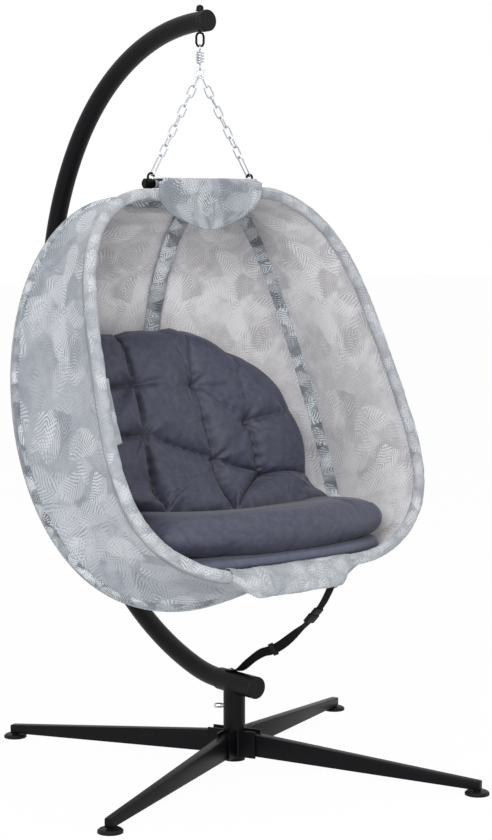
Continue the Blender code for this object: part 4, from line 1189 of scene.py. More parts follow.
@dataclass
class FrontApron:
    """The cloth that wraps the bottom bar in front of the pivot, open behind so that the hoops can fold."""

    pod: PodFrame
    cloth: Material
    left: float = -0.235
    right: float = 0.152
    wall: float = 0.002
    radius: float = 0.0198
    left_gather: float = 0.075
    right_gather: float = 0.062
    grid: tuple = (170, 44)
    wrap_start: float = -8.0        # degrees round the bar, from the cloth's upper edge
    wrap: float = 278.0
    wrapped: float = 0.17           # length of cloth round the bar
    crumple: float = 0.0024
    pucker: float = 0.0012
    mouth: list = field(init=False)

    def __post_init__(self) -> None:
        """Finds the lower end of the mouth's line, between the two rims."""
        track = self.pod.track(replace(RIM, name="line", level=0), Side.RIGHT.value)
        self.mouth = [track.point(0.80 + 0.002 * index) for index in range(101)]

    def section(self, across: float) -> tuple[Vector, Vector, float]:
        """The two points that the cloth wraps at a distance across, and how gathered it is there."""
        near = min((across - self.left) / self.left_gather, (self.right - across) / self.right_gather)
        ends = ease(1.0 - clamp(near))
        line = self.pod.at(across, self.pod.bottom_pivot + self.lift(abs(across)), 0.0)
        return self.pod.bottom_bar(across).lerp(line, ends), line, ends

    def lift(self, reach: float) -> float:
        """How far the mouth's line has risen above the pivot at a distance from the axis."""
        nearest = min(self.mouth, key=lambda point: abs(point.x - reach))
        return (nearest - self.pod.middle).dot(self.pod.axis) - self.pod.bottom_pivot

    def build(self) -> None:
        """Makes the apron."""
        columns = self.grid[0]
        wide = self.right - self.left
        sections = [self.section(self.left + wide * index / columns) for index in range(columns + 1)]

        def place(u: float, v: float) -> Vector:
            """Point of the apron at a share across and a share from its upper edge round under the bar."""
            bar, line, ends = sections[round(u * columns)]
            first = (self.pod.at(0.0, self.pod.bottom_pivot, 0.0) - self.pod.bottom_bar(0.0)).normalized()
            second = first.cross(X_AXIS)
            turn = math.radians(self.wrap_start + self.wrap * v)
            gather = self.crumple * ends * wobble(2.0 * u, 14.0 * v, 5.0)
            gather += self.crumple * wobble(u * 6.0, v * 3.0, 9.0)
            gather += self.pucker * wobble(u * 40.0, v * 2.0, 2.0)
            radius = self.radius + gather
            reach = (line - bar).length / 2 + radius
            middle = bar.lerp(line, 0.5)
            return middle + first * (reach * math.cos(turn)) - second * (radius * math.sin(turn))

        form = mapped_grid(*self.grid, place, (wide, self.wrapped))
        face_away(form, lambda point: sections[0][0] + X_AXIS * (point.x - self.left))
        area = surface_area(form)
        made = make_piece("front_apron", form, (self.cloth,), Slot.SHELL)
        thicken(made, self.wall, -1.0)
        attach(made, "core")


@dataclass
class SidePocket:
    """A small pocket of the shell's cloth on the inside of the left rim."""

    pod: PodFrame
    cloth: Material
    top: float = 1.045
    bottom: float = 0.885
    width: float = 0.062
    top_share: float = 0.10         # of the width, at its top
    flare: float = 0.8              # power by which it widens
    inset: float = 0.010
    sag: float = 0.010
    crumple: float = 0.003
    rise: float = 0.018             # of its free lower corner
    thickness: float = 0.0025

    def build(self) -> None:
        """Makes the pocket."""
        track = self.pod.track(RIM, Side.LEFT.value)
        shares = [index / 400 for index in range(401)]
        start = next(share for share in shares[100:] if track.point(share).z < self.top)
        end = next(share for share in shares[100:] if track.point(share).z < self.bottom)

        def place(u: float, v: float) -> Vector:
            """Point of the pocket at a share inwards from the rim and a share down."""
            point, along, _, out = track.axes(start + (end - start) * v)
            wide = self.width * (self.top_share + (1.0 - self.top_share) * v ** self.flare)
            sag = self.sag * math.sin(math.pi * u) + self.crumple * wobble(3.0 * u, 5.0 * v, 4.0)
            inward = (X_AXIS * 0.80 + self.pod.back * 0.60).normalized()
            return point - out * self.inset + inward * (u * wide) - out * sag - along * (self.rise * u * v)

        length = self.top - self.bottom
        form = mapped_grid(24, 40, place, (self.width, length))
        face_away(form, lambda point: point + X_AXIS - self.pod.back)
        area = surface_area(form)
        made = make_piece("side_pocket", form, (self.cloth,), Slot.SHELL)
        thicken(made, self.thickness)
        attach(made, "left_rim")


@dataclass
class TopFlap:
    """The half-moon flap over the top bar, hung from a sleeve on it."""

    pod: PodFrame
    cloth: Material
    half_width: float = 0.168
    sleeve_half: float = 0.155
    offset: float = -0.012
    forward: float = 0.047
    drop: float = 0.128
    thickness: float = 0.003
    sleeve_wall: float = 0.0022
    sleeve_cloth: float = 0.001
    sleeve_play: float = 0.0012
    sleeve_crumple: float = 0.0008
    fold: float = 0.005
    folds: float = 3.5
    crumple: float = 0.0025
    free_from: float = 0.3          # share of the way down at which it is wider than the sleeve
    round_from: float = 0.45
    round_span: float = 0.58
    corner_lift: float = 0.10

    def line(self, share: float) -> tuple[Vector, Vector]:
        """The flap's middle at a share of the way down, and the direction that its folds take there."""
        bar = self.pod.top_bar(0.0)
        radius = self.pod.bar_radius
        start = bar + Z_AXIS * (radius + GAP + self.sleeve_wall / 2)
        edge = start - Y_AXIS * self.forward
        lengths = (self.forward - radius, radius * math.pi / 2, self.drop - radius)
        run = share * sum(lengths)
        if run < lengths[0]:
            return start - Y_AXIS * run, Z_AXIS
        angle = min(1.0, (run - lengths[0]) / lengths[1]) * math.pi / 2
        point = edge + (Y_AXIS * (1.0 - math.sin(angle)) - Z_AXIS * (1.0 - math.cos(angle))) * radius
        facing = -Y_AXIS * math.sin(angle) + Z_AXIS * math.cos(angle)
        return point - Z_AXIS * max(0.0, run - lengths[0] - lengths[1]), facing

    def build(self) -> None:
        """Makes the flap and the sleeve it hangs from."""
        def place(u: float, v: float) -> Vector:
            """Point of the flap at a share across and a share up from its lower edge."""
            across = 2.0 * u - 1.0
            share = 1.0 - v
            wide = self.sleeve_half
            if share > self.free_from:
                rounded = max(0.0, share - self.round_from) / self.round_span
                wide = self.half_width * math.sqrt(1.0 - rounded ** 2)
            point, facing = self.line(share * (1.0 - self.corner_lift * abs(across) ** 3 * share))
            wave = self.fold * share * share * (1.0 - math.cos(math.pi * self.folds * across)) / 2
            wave += self.crumple * share * wobble(across * 5.0, share * 4.0, 2.0)
            sideways = across * wide + self.offset * share
            return point + X_AXIS * sideways + facing * (wave + self.thickness / 2)

        length = self.forward + self.drop
        form = mapped_grid(90, 56, place, (2 * self.half_width, length))
        face_away(form, lambda point: Vector((point.x, point.y + 0.1, point.z - 0.1)))
        area = surface_area(form)
        made = make_piece("flap_cloth", form, (self.cloth,), Slot.SHELL)
        thicken(made, self.thickness)
        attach(made, "core")
        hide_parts("top_flap")

        bar = self.pod.top_bar
        track = Track([bar(-self.sleeve_half), bar(self.sleeve_half)], lambda point: Z_AXIS)
        sleeve = make_piece("flap_sleeve", self.sleeve(track), (self.cloth,), Slot.SHELL)
        thicken(sleeve, self.sleeve_cloth, 1.0)
        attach(sleeve, "core")

    def sleeve(self, track: Track) -> Form:
        """The loose sleeve round the bar."""
        def radius(turn: float, share: float) -> float:
            """Radius of the sleeve at a turn round it and a share along."""
            crumple = wobble(share * 26.0, math.cos(turn), math.sin(turn))
            return self.pod.bar_radius + self.sleeve_play + self.sleeve_crumple * crumple

        form = round_skin(track, radius, self.pod.bar_radius, (24, 120))
        bmesh.ops.recalc_face_normals(form, faces=form.faces)
        return form


# Cushions

@dataclass
class Plump:
    """Fills a cushion: its cloth is blown up by a pressure, and held where it is sewn through."""

    pressure: float
    slack: float
    cap: float
    frames: int = 20

    def fill(self, made: Object, held: Callable[[Vector], float]) -> None:
        """Runs the cloth simulation and keeps its result.

        Args:
            made: the cushion, as a closed mesh.
            held: from 0 to 1, how firmly a point is sewn down.
        """
        points = [vertex.co.copy() for vertex in made.data.vertices]
        sewn = made.vertex_groups.new(name="sewn")
        for vertex in made.data.vertices:
            sewn.add([vertex.index], held(vertex.co), "REPLACE")
        self.simulate(made)
        for vertex, rest in zip(made.data.vertices, points):
            move = vertex.co - rest
            if move.length > self.cap:
                vertex.co = rest + move.normalized() * self.cap
        made.data.shade_smooth()

    def simulate(self, made: Object) -> None:
        """Steps the cloth simulation through its frames and applies it."""
        cloth = made.modifiers.new("fill", "CLOTH")
        settings = cloth.settings
        settings.quality = 6
        settings.mass = 0.2
        settings.tension_stiffness = 12.0
        settings.compression_stiffness = 12.0
        settings.shear_stiffness = 4.0
        settings.bending_stiffness = 0.25
        settings.use_pressure = True
        settings.uniform_pressure_force = self.pressure
        settings.shrink_min = -self.slack
        settings.effector_weights.gravity = 0.0
        settings.vertex_group_mass = "sewn"
        settings.pin_stiffness = 1.0
        cloth.collision_settings.use_collision = False
        cloth.point_cache.frame_start = 1
        cloth.point_cache.frame_end = self.frames
        scene = bpy.context.scene
        for number in range(1, self.frames + 1):
            scene.frame_set(number)
        self.keep(made)
        scene.frame_set(1)

    @staticmethod
    def keep(made: Object) -> None:
        """Makes a piece's modified shape its own mesh."""
        graph = bpy.context.evaluated_depsgraph_get()
        mesh = bpy.data.meshes.new_from_object(made.evaluated_get(graph))
        old = made.data
        made.modifiers.clear()
        made.data = mesh
        bpy.data.meshes.remove(old)
        mesh.name = made.name


@dataclass
class Seat:
    """The tufted cushion for seat and back, and the thin pad under it."""

    pod: PodFrame
    cloth: Material
    pad_cloth: Material
    pad_thickness: float = 0.042
    pad_half_width: float = 0.370
    pad_half_depth: float = 0.172
    pad_behind: float = 0.186
    pad_slope: float = math.radians(1.0)
    pad_squareness: float = 3.0
    pad_underside: float = 0.90
    pad_keep: float = 0.4           # share of its thickness that is left when it is pressed up
    pad_cuts: tuple = (59, 29, 5)
    cuts: tuple = (119, 139, 5)
    thickness: float = 0.105
    edge: float = 0.034
    half_width: float = 0.350
    front_taper: float = 0.14
    back_taper: float = 0.80
    end_round: float = 0.26
    left_taper: float = 0.40
    left_round: float = 0.08
    front_inset: float = 0.012
    seat: float = 0.290
    bend: float = 0.140
    back: float = 0.386
    lean: float = math.radians(76.0)
    dish: float = 0.50
    dish_growth: float = 1.6        # how soon the dish is full, along the cushion
    tuft_depth: float = 0.066
    tuft_spread: float = 0.085
    tuft_hold: float = 0.016        # how far from a tuft the skin is still sewn down
    crease_spread: float = 0.075
    crease_wander: float = 0.35
    pucker: float = 0.0035
    pucker_pitch: float = 0.031
    pleats: float = 7.0             # folds round a tuft
    pleat_depth: float = 0.0060
    pleat_fade: float = 0.045
    pleat_start: float = 0.020
    shade_depth: float = 0.050      # relief at which a crease's painted shade is full
    shade_start: float = 0.35       # share of that depth at which the painted shade starts
    puff: float = 0.012
    front_edge: float = 0.074
    roll_crest: float = 0.055
    roll_depth: float = 0.014
    roll_drop: float = 0.040
    roll_slant: float = 0.18
    edge_bulge: float = 0.45        # of the edge's thickness
    edge_share: float = 0.06        # of the half width, which bulges
    edge_relief: float = 0.25       # share of the relief that is left at the edge
    tufts: tuple = (
        (-0.162, 0.717), (0.030, 0.707), (0.168, 0.595),
        (-0.165, 0.580), (0.050, 0.502), (0.198, 0.442),
        (-0.160, 0.320), (0.045, 0.285), (0.200, 0.255),
    )
    # Creases from tuft to tuft and from tuft to edge, each with its depth
    creases: tuple = (
        (0, 3, 0.058), (3, 6, 0.058), (1, 4, 0.044), (4, 7, 0.056), (2, 5, 0.040),
        (3, 4, 0.040), (4, 5, 0.034), (5, 7, 0.048), (6, 7, 0.060), (7, 8, 0.060), (1, 2, 0.026),
    )
    edge_creases: tuple = (
        (0, (-0.190, 0.92), 0.056), (1, (0.050, 0.92), 0.034), (1, (-0.050, 0.92), 0.024),
        (0, (-0.42, 0.705), 0.056), (3, (-0.42, 0.590), 0.056), (6, (-0.42, 0.320), 0.052),
        (2, (0.40, 0.640), 0.034), (5, (0.40, 0.430), 0.056), (8, (0.42, 0.235), 0.046),
        (6, (-0.150, -0.05), 0.016), (8, (0.235, -0.05), 0.034), (2, (0.16, 0.90), 0.016),
    )
    place: Matrix = field(init=False)
    lines: list = field(init=False)

    def __post_init__(self) -> None:
        """Finds the middle of the pad's underside, with X across and Y back, and the creases' lines."""
        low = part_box("seat_pad")[0].z + self.pad_half_depth * self.pad_underside * math.sin(self.pad_slope)
        middle = self.pod.at(0.0, self.pod.bottom_pivot, 0.0) + Y_AXIS * self.pad_behind
        self.place = Matrix.Translation((0.0, middle.y, low)) @ Matrix.Rotation(-self.pad_slope, 4, "X")
        ends = [(first, self.tufts[second], deep) for first, second, deep in self.creases]
        ends += self.edge_creases
        self.lines = [(Vector(self.tufts[first]), Vector(end), deep) for first, end, deep in ends]

    def line(self, distance: float) -> tuple[Vector, Vector]:
        """Point and direction of the cushion's middle line, at a distance from its front edge."""
        turn = self.place.to_3x3()
        back = turn @ Y_AXIS
        up = turn @ Z_AXIS
        rise = self.pad_thickness + GAP + self.thickness / 2
        point = self.place @ Vector((0.0, self.front_inset - self.pad_half_depth, rise))
        if distance < self.seat:
            return point + back * distance, back
        point += back * self.seat
        bent = self.bend * self.lean
        angle = min(1.0, (distance - self.seat) / bent) * self.lean
        point += (back * math.sin(angle) + up * (1.0 - math.cos(angle))) * self.bend
        along = back * math.cos(angle) + up * math.sin(angle)
        return point + along * max(0.0, distance - self.seat - bent), along

    @property
    def length(self) -> float:
        """The cushion's length along its middle line."""
        return self.seat + self.bend * self.lean + self.back

    def relief(self, across: float, run: float) -> float:
        """How far the top is drawn down at a place: most at the tufts, less along the creases."""
        here = Vector((across, run))
        drawn = 0.0
        for first, second, deep in self.lines:
            way = second - first
            share = clamp((here - first).dot(way) / way.length_squared)
            away = (here - first - way * share).length
            away *= 1.0 + self.crease_wander * wobble(across * 14.0, run * 14.0, deep * 900.0)
            pull = self.round_side(away / self.crease_spread)
            wave = math.sin(share * way.length * math.tau / self.pucker_pitch + 9.0 * deep)
            drawn = max(drawn, (deep + self.pucker * wave * pull) * pull)
        for index, tuft in enumerate(self.tufts):
            offset = here - Vector(tuft)
            away = offset.length
            pleats = math.cos(self.pleats * math.atan2(offset.y, offset.x) + 2.1 * index)
            fade = math.exp(-away / self.pleat_fade) * min(1.0, away / self.pleat_start)
            star = self.pleat_depth * pleats * fade
            drawn = max(drawn, self.tuft_depth * self.round_side(away / self.tuft_spread)) + star
        bend = self.tufts[7][1] - self.roll_slant * (across - self.tufts[7][0])
        if run < bend:
            slope = max(0.0, (run - self.roll_crest) / (bend - self.roll_crest))
            drawn = max(drawn, self.roll_depth + self.roll_drop * slope)
        return drawn

    def shade(self, u: float, v: float, face: float) -> float:
        """How deep in a crease a point of the skin lies, from 0 to 1, which sets the painted shade of the
        cloth there.
        """
        if face < 1.0:
            return 0.0
        across, run = self.spread(u, v)
        return clamp(self.relief(across, run) / self.shade_depth - self.shade_start)

    def spread(self, u: float, v: float) -> tuple[float, float]:
        """Distances across and along the cushion at a share across and a share along."""
        held_up = u < 0.0 < v
        draw = self.left_taper if held_up else self.back_taper
        end_round = self.left_round if held_up else self.end_round
        taper = draw * v ** 3 if v > 0.0 else self.front_taper * v * v
        across = self.half_width * u * math.sqrt(1.0 - taper)
        return across, self.length / 2 * (1.0 + v * math.sqrt(1.0 - end_round * u * u))

    @staticmethod
    def round_side(share: float) -> float:
        """The side of a puff, from 1 in the crease to 0 on its crown, as a quarter circle."""
        rest = 1.0 - clamp(share)
        return 1.0 - math.sqrt(1.0 - rest * rest)

    def skin(self, u: float, v: float, face: float) -> Vector:
        """A point of the cushion's skin.

        Args:
            u: share across, from -1 to 1.
            v: share along, from -1 at the front to 1.
            face: from -1 underneath to 1 on top.

        Returns:
            The point.
        """
        across, run = self.spread(u, v)
        middle, along = self.line(run)
        up = X_AXIS.cross(along)
        crown = math.sqrt(max(0.0, (1.0 - u ** 4) * (1.0 - v ** 4)))
        edge = self.edge + (self.front_edge - self.edge) * max(0.0, -v) ** 3
        half = (edge + (self.thickness - edge) * crown) / 2
        rim = max(abs(u), abs(v))
        rounding = max(0.0, (rim - (1.0 - self.edge_share)) / self.edge_share)
        bulge = (1.0 - face * face) * self.edge_bulge * edge * rounding
        if face > 0.0:
            shown = self.edge_relief + (1.0 - self.edge_relief) * crown
            half += (self.puff - self.relief(across, run)) * shown
        point = middle + X_AXIS * across + up * (face * half + self.dished(across, run))
        out = X_AXIS * (u if abs(u) >= abs(v) else 0.0) + along * (v if abs(v) > abs(u) else 0.0)
        return point + out * bulge

    def dished(self, across: float, run: float) -> float:
        """How far the cushion's sides stand up above its middle, more towards its back."""
        return self.dish * min(1.0, run / self.length * self.dish_growth) * across * across

    def tuft_point(self, tuft: tuple[float, float], face: float) -> Vector:
        """Where a tuft is sewn through the skin, on top (1) or underneath (-1)."""
        middle, along = self.line(tuft[1])
        up = X_AXIS.cross(along)
        half = self.thickness / 2 + self.puff - self.tuft_depth if face > 0.0 else self.thickness / 2
        return middle + X_AXIS * tuft[0] + up * (face * half + self.dished(*tuft))

    def build(self) -> None:
        """Makes the cushion and the pad."""
        self.build_cushion()
        self.build_pad()

    def build_cushion(self) -> None:
        """The long cushion, filled by simulation and sewn through at its tufts."""
        form = cut_cube(self.cuts)
        # each point keeps how deep in a crease it lies, for the cloth's painted shade
        fold = form.verts.layers.float.new(CREASE_SHADE)
        for corner in form.verts:
            corner[fold] = self.shade(*corner.co)
            corner.co = self.skin(*corner.co)
        bmesh.ops.recalc_face_normals(form, faces=form.faces)
        made = make_piece("tufted_cushion", form, (self.cloth,), Slot.SLATE)
        sewn = [self.tuft_point(tuft, face) for tuft in self.tufts for face in (1.0, -1.0)]

        def held(point: Vector) -> float:
            """How firmly a point is held by the nearest tuft."""
            near = min((point - place).length for place in sewn)
            return clamp(1.6 - near / self.tuft_hold)

        Plump(pressure=3.0, slack=0.04, cap=0.012, frames=14).fill(made, held)
        subdivide(made)
        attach(made, "core")
        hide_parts("cushion")

    def build_pad(self) -> None:
        """The thin flat pad on the floor of the pod."""
        form = cut_cube(self.pad_cuts)
        power = self.pad_squareness
        for corner in form.verts:
            u, v, w = corner.co
            size = max(abs(u), abs(v))
            angle = math.atan2(v, u)
            square = (abs(math.cos(angle)) ** power + abs(math.sin(angle)) ** power) ** (-1.0 / power)
            draw = 1.0 - (1.0 - self.pad_underside) * max(0.0, -w) - 0.03 * w * w
            corner.co.x = self.pad_half_width * size * square * math.cos(angle) * draw
            corner.co.y = self.pad_half_depth * size * square * math.sin(angle) * draw
            corner.co.z = (w + 1.0) / 2 * self.pad_thickness
            corner.co = self.place @ corner.co
        bmesh.ops.recalc_face_normals(form, faces=form.faces)
        made = make_piece("thin_pad", form, (self.pad_cloth,), Slot.SLATE)
        Plump(pressure=2.0, slack=0.03, cap=0.004).fill(made, lambda point: 0.0)
        subdivide(made)
        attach(made, "core")
        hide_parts("seat_pad")
        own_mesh(made)


# Stand and suspension

@dataclass
class Stand:
    """The stand's arm as smooth tubes, and the finishes of its other pieces."""

    coat: Material
    plastic: Material
    zinc: Material
    tube_radius: float = 0.0255
    tube_grid: tuple = (48, 150)
    tee_height: float = 0.219
    tee_front: float = 0.086
    tee_back: float = 0.056
    low_bends: tuple = ((0.393, 15.9), (0.856, 41.3))
    high_bends: tuple = ((0.856, 67.1), (0.694, 56.3))
    joint_straight: float = 0.100

    @staticmethod
    def bend(point: Vector, heading: float,
             bends: Sequence[tuple[float, float]]) -> tuple[list[Vector], float]:
        """Points along arcs that follow one another in the plane X = 0.

        Args:
            point: where the first arc starts.
            heading: its direction, from +Y towards +Z.
            bends: radius and degrees of each arc.

        Returns:
            The points, and the heading at the end.
        """
        points = []
        for radius, degrees in bends:
            sweep = math.radians(degrees)
            centre = point + Vector((0.0, -math.sin(heading), math.cos(heading))) * radius
            count = math.ceil(degrees / 1.5)
            for index in range(1, count + 1):
                angle = heading + sweep * index / count
                points.append(centre + Vector((0.0, math.sin(angle), -math.cos(angle))) * radius)
            point = points[-1]
            heading += sweep
        return points, heading

    def build(self) -> None:
        """Makes the arm, and dresses the rest of the stand."""
        low = [Vector((0.0, -self.tee_front, self.tee_height)), Vector((0.0, self.tee_back, self.tee_height))]
        more, heading = self.bend(low[-1], 0.0, self.low_bends)
        along = Vector((0.0, math.cos(heading), math.sin(heading)))
        low += more
        low.append(low[-1] + along * self.joint_straight / 2)
        high = [low[-1] + along * GAP, low[-1] + along * self.joint_straight / 2]
        high += self.bend(high[-1], heading, self.high_bends)[0]
        tubes = (("lower_arm_tube", "arm_lower", low), ("upper_arm_tube", "arm_upper", high))
        for name, node, points in tubes:
            track = Track(points, lambda point: X_AXIS)
            form = round_skin(track, lambda turn, share: self.tube_radius, self.tube_radius, self.tube_grid)
            close(form)
            made = make_piece(name, form, (self.coat,), Slot.STEEL)
            crease(made, 50.0)
            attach(made, "arm")
            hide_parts(node)
        legs = [f"leg_{index}" for index in range(1, 5)]
        feet = [f"foot_{index}" for index in range(1, 5)]
        finishes = (
            (self.coat, (*legs, "hub", "tee", "eye_bolt", "left_hook", "right_hook", "top_bar", "bottom_bar",
                         "spine", "left_rib", "right_rib", "left_rim", "right_rim")),
            (self.plastic, (*feet, "tee_cap", "arm_end_cap", "eye_nut")),
            (self.zinc, ("clamp_screw", "tee_bolt")),
        )
        for material, names in finishes:
            for name in names:
                dress_node(name, material)


@dataclass
class Suspension:
    """Spring, ring and chains, as smooth wire."""

    zinc: Material
    eye_wire: float = 0.0030
    spring_wire: float = 0.0020
    spring_radius: float = 0.0095
    loop_radius: float = 0.0085
    loop_turn: float = 310.0        # degrees that a hook loop goes round
    turns: float = 4.5
    pitch: float = 0.0070
    steps: int = 30                 # of a loop, and of each turn
    link_wire: float = 0.0020
    ring_wire: float = 0.0025
    links: int = 8
    facing: Vector = field(default_factory=lambda: Vector((-0.64, -0.77, 0.0)).normalized())

    def build(self) -> None:
        """Makes the spring, the ring and both chains."""
        self.build_spring()
        self.build_ring()
        for side in Side:
            self.build_chain(side)

    def spring_line(self) -> list[Vector]:
        """Points down the spring: a hook loop, the coils and a hook loop."""
        hang = Vector(joint_named("chair_swing")["pos_m"])
        loop = self.loop_radius
        across = self.facing.cross(Z_AXIS)

        def hook(middle: Vector, start: float) -> list[Vector]:
            """Points round a hook loop, from an angle in degrees."""
            turns = [start + self.loop_turn * step / self.steps for step in range(self.steps + 1)]
            return [middle + self.facing * (loop * math.cos(angle)) + Z_AXIS * (loop * math.sin(angle))
                    for angle in map(math.radians, turns)]

        points = hook(hang + Z_AXIS * (self.eye_wire + self.spring_wire + GAP - loop), -40.0)
        top = points[-1]
        count = round(self.turns * self.steps)
        for index in range(1, count + 1):
            share = index / count
            turn = math.tau * self.turns * share
            ends = min(1.0, 2.2 * self.turns * min(share, 1.0 - share))
            radius = self.spring_radius * math.sin(ends * math.pi / 2)
            around = self.facing * math.cos(turn) + across * math.sin(turn)
            points.append(top + around * radius - Z_AXIS * (self.pitch * self.turns * share))
        return points + hook(points[-1] - Z_AXIS * loop, 90.0)[1:]

    def build_spring(self) -> None:
        """The spring, which stretches between the eye and the ring."""
        curve = bpy.data.curves.new("spring_wire", "CURVE")
        curve.dimensions = "3D"
        curve.bevel_depth = self.spring_wire
        curve.bevel_resolution = 3
        curve.use_fill_caps = True
        points = self.spring_line()
        spline = curve.splines.new("POLY")
        spline.points.add(len(points) - 1)
        for place, point in zip(spline.points, points):
            place.co = (*point, 1.0)
        wire = place_object("spring_wire", curve)
        graph = bpy.context.evaluated_depsgraph_get()
        mesh = bpy.data.meshes.new_from_object(wire.evaluated_get(graph))
        form = bmesh.new()
        form.from_mesh(mesh)
        bmesh.ops.remove_doubles(form, verts=form.verts, dist=1e-6)
        bmesh.ops.recalc_face_normals(form, faces=form.faces)
        bpy.data.objects.remove(wire)
        bpy.data.meshes.remove(mesh)
        made = make_piece("bounce_spring", form, (self.zinc,), Slot.ZINC)
        top = max(points, key=lambda point: point.z)
        low = min(points, key=lambda point: point.z)
        straight = 2 * self.loop_radius
        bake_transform(made, "hanger", "core", start=top - Z_AXIS * straight, end=low + Z_AXIS * straight)
        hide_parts("hang_spring")

    def build_ring(self) -> None:
        """The ring that both chains hang on."""
        centre, axes, spans = wire_frame_of("hang_ring")
        half = spans[0] / 2 - self.ring_wire
        form = long_ring(centre, axes[0], axes[1], half, 2 * half, self.ring_wire, 48, 14)
        made = make_piece("chain_ring", form, (self.zinc,), Slot.ZINC)
        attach(made, "core")
        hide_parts("hang_ring")

    def build_chain(self, side: Side) -> None:
        """One chain of welded links, each where the frame has it."""
        nodes = [f"{side.word}_chain_link_{index + 1}" for index in range(self.links)]
        nodes.append(f"{side.word}_chain_end_link")
        forms = []
        for node in nodes:
            centre, axes, spans = wire_frame_of(node)
            half = spans[1] / 2 - self.link_wire
            length = spans[0] - 2 * self.link_wire
            forms.append(long_ring(centre, axes[1], axes[0], half, length, self.link_wire))
        made = make_piece(f"{side.word}_chain", join_forms(forms), (self.zinc,), Slot.ZINC)
        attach(made, "core")
        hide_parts(*nodes)


@dataclass
class Tether:
    """The strap from the stand to the pod, with its glide and its side-release buckle."""

    pod: PodFrame
    webbing: Material
    plastic: Material
    width: float = 0.025
    thickness: float = 0.002
    foot: float = 0.026
    loop_offset: float = 0.070
    low_route: tuple = ((0.002, -0.022, 0.0067), (0.007, -0.060, 0.0367), (0.014, -0.095, 0.0607))
    middle_route: tuple = ((0.033, -0.170, 0.3500), (0.043, -0.208, 0.3840))
    high_route: tuple = ((0.066, -0.284, 0.4750),)
    glide: Vector = field(default_factory=lambda: Vector((0.0225, -0.131, 0.3240)))
    glide_way: Vector = field(default_factory=lambda: Vector((0.25, -0.88, 0.44)).normalized())
    glide_length: float = 0.015
    glide_thickness: float = 0.006
    glide_rounding: float = 0.0015
    glide_share: float = 0.38               # of the swing that the glide makes
    buckle: Vector = field(default_factory=lambda: Vector((0.0550, -0.2500, 0.4260)))
    buckle_way: Vector = field(default_factory=lambda: Vector((0.20, -0.62, 0.76)).normalized())
    socket_length: float = 0.030
    plug_length: float = 0.021
    buckle_width: float = 0.034
    buckle_thickness: float = 0.011
    turned: float = math.radians(-65.0)     # how far the slack strap is twisted on its edge at the glide
    part_turned: float = math.radians(-30.0)
    held_steps: int = 8                     # of the foot's line, which stay with the stand

    def ribbon(self, name: str, points: list[Vector], first: float = 0.0,
               last: float = 0.0) -> Object:
        """A stretch of webbing.

        Args:
            name: the piece's name.
            points: the line along it.
            first: how far it is twisted about that line at its first point.
            last: how far it is twisted at its last point.

        Returns:
            The piece.
        """
        track = Track(points, lambda point: X_AXIS)

        def place(u: float, v: float) -> Vector:
            """Point of the webbing at a share across and a share along."""
            point, along, _, across = track.axes(v)
            twist = first + (last - first) * ease(v)
            return point + Matrix.Rotation(twist, 3, along) @ across * ((u - 0.5) * self.width)

        form = mapped_grid(10, 80, place, (self.width, track.length))
        made = make_piece(name, form, (self.webbing,), Slot.WEBBING)
        thicken(made, self.thickness)
        return made

    def share_swing(self, made: Object, points: list[Vector], first: float, last: float) -> None:
        """Spreads the swing along the strap.

        Args:
            made: the piece.
            points: the line along it.
            first: the share of the swing that the line's first point makes.
            last: the share that its last point makes.
        """
        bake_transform(made, "eye", "hanger", start=points[0], end=points[-1])
        steps = len(points) - 1
        values = []
        for vertex in made.data.vertices:
            nearest = min(range(steps + 1), key=lambda index: (points[index] - vertex.co).length_squared)
            values.append(first + (last - first) * nearest / steps)
        made.data.attributes[BLEND].data.foreach_set("value", values)

    def block(self, middle: Vector, along: Vector, twist: float = 0.0) -> Matrix:
        """A frame on the strap with X across it, Y along it and Z out of it, twisted about Y."""
        side = Matrix.Rotation(twist, 3, along) @ (X_AXIS - along * X_AXIS.dot(along)).normalized()
        return Matrix.Translation(middle) @ Matrix((side, along, side.cross(along))).transposed().to_4x4()

    def build(self) -> None:
        """Makes the strap's four stretches, its glide and its buckle."""
        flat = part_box("strap_lower")[0].z + self.thickness / 2
        lead = 2 * self.width
        foot_end = Vector((0.0, self.foot, flat))
        route = [foot_end, Vector((0.0, self.foot / 6, flat))]
        route += [Vector((x, y, flat + rise)) for x, y, rise in self.low_route]
        route.append(self.glide - self.glide_way * (self.glide_length / 2 + GAP))
        points = smooth_line(route, foot_end + Y_AXIS * lead, route[-1] + self.glide_way * lead)
        split = min(range(len(points)), key=lambda index: (points[index] - route[3]).length)
        foot = self.ribbon("webbing_foot", points[:split + 1], 0.0, self.part_turned)
        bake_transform(foot, "arm", "eye", start=points[self.held_steps], end=points[split])
        lower = self.ribbon("webbing_lower", points[split:], self.part_turned, self.turned)
        self.share_swing(lower, points[split:], 0.0, self.glide_share)
        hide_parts("strap_lower")

        buckle_length = self.socket_length + self.plug_length
        route = [self.glide + self.glide_way * (self.glide_length / 2 + GAP), *map(Vector, self.middle_route)]
        route.append(self.buckle - self.buckle_way * (buckle_length / 2 + GAP))
        points = smooth_line(route, route[0] - self.glide_way * lead, route[-1] + self.buckle_way * lead)
        middle = self.ribbon("webbing_middle", points, self.turned, 0.0)
        self.share_swing(middle, points, self.glide_share, 1.0)
        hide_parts("strap_middle")

        bar = self.pod.bottom_bar(self.loop_offset)
        reach = self.pod.bar_radius + GAP + self.thickness / 2
        hang = bar - Z_AXIS * reach
        start = self.buckle + self.buckle_way * (buckle_length / 2 + GAP)
        route = [start, *map(Vector, self.high_route), hang]
        points = smooth_line(route, route[0] - self.buckle_way * lead, hang + Z_AXIS * lead, 40)
        turns = [math.radians(-90.0 + 330.0 * index / 40) for index in range(1, 41)]
        points += [bar + (Y_AXIS * math.cos(turn) + Z_AXIS * math.sin(turn)) * reach for turn in turns]
        upper = self.ribbon("webbing_upper", points)
        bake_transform(upper, "hanger", "core", start=points[0], end=hang)
        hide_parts("strap_upper")
        self.build_glide()
        self.build_buckle()

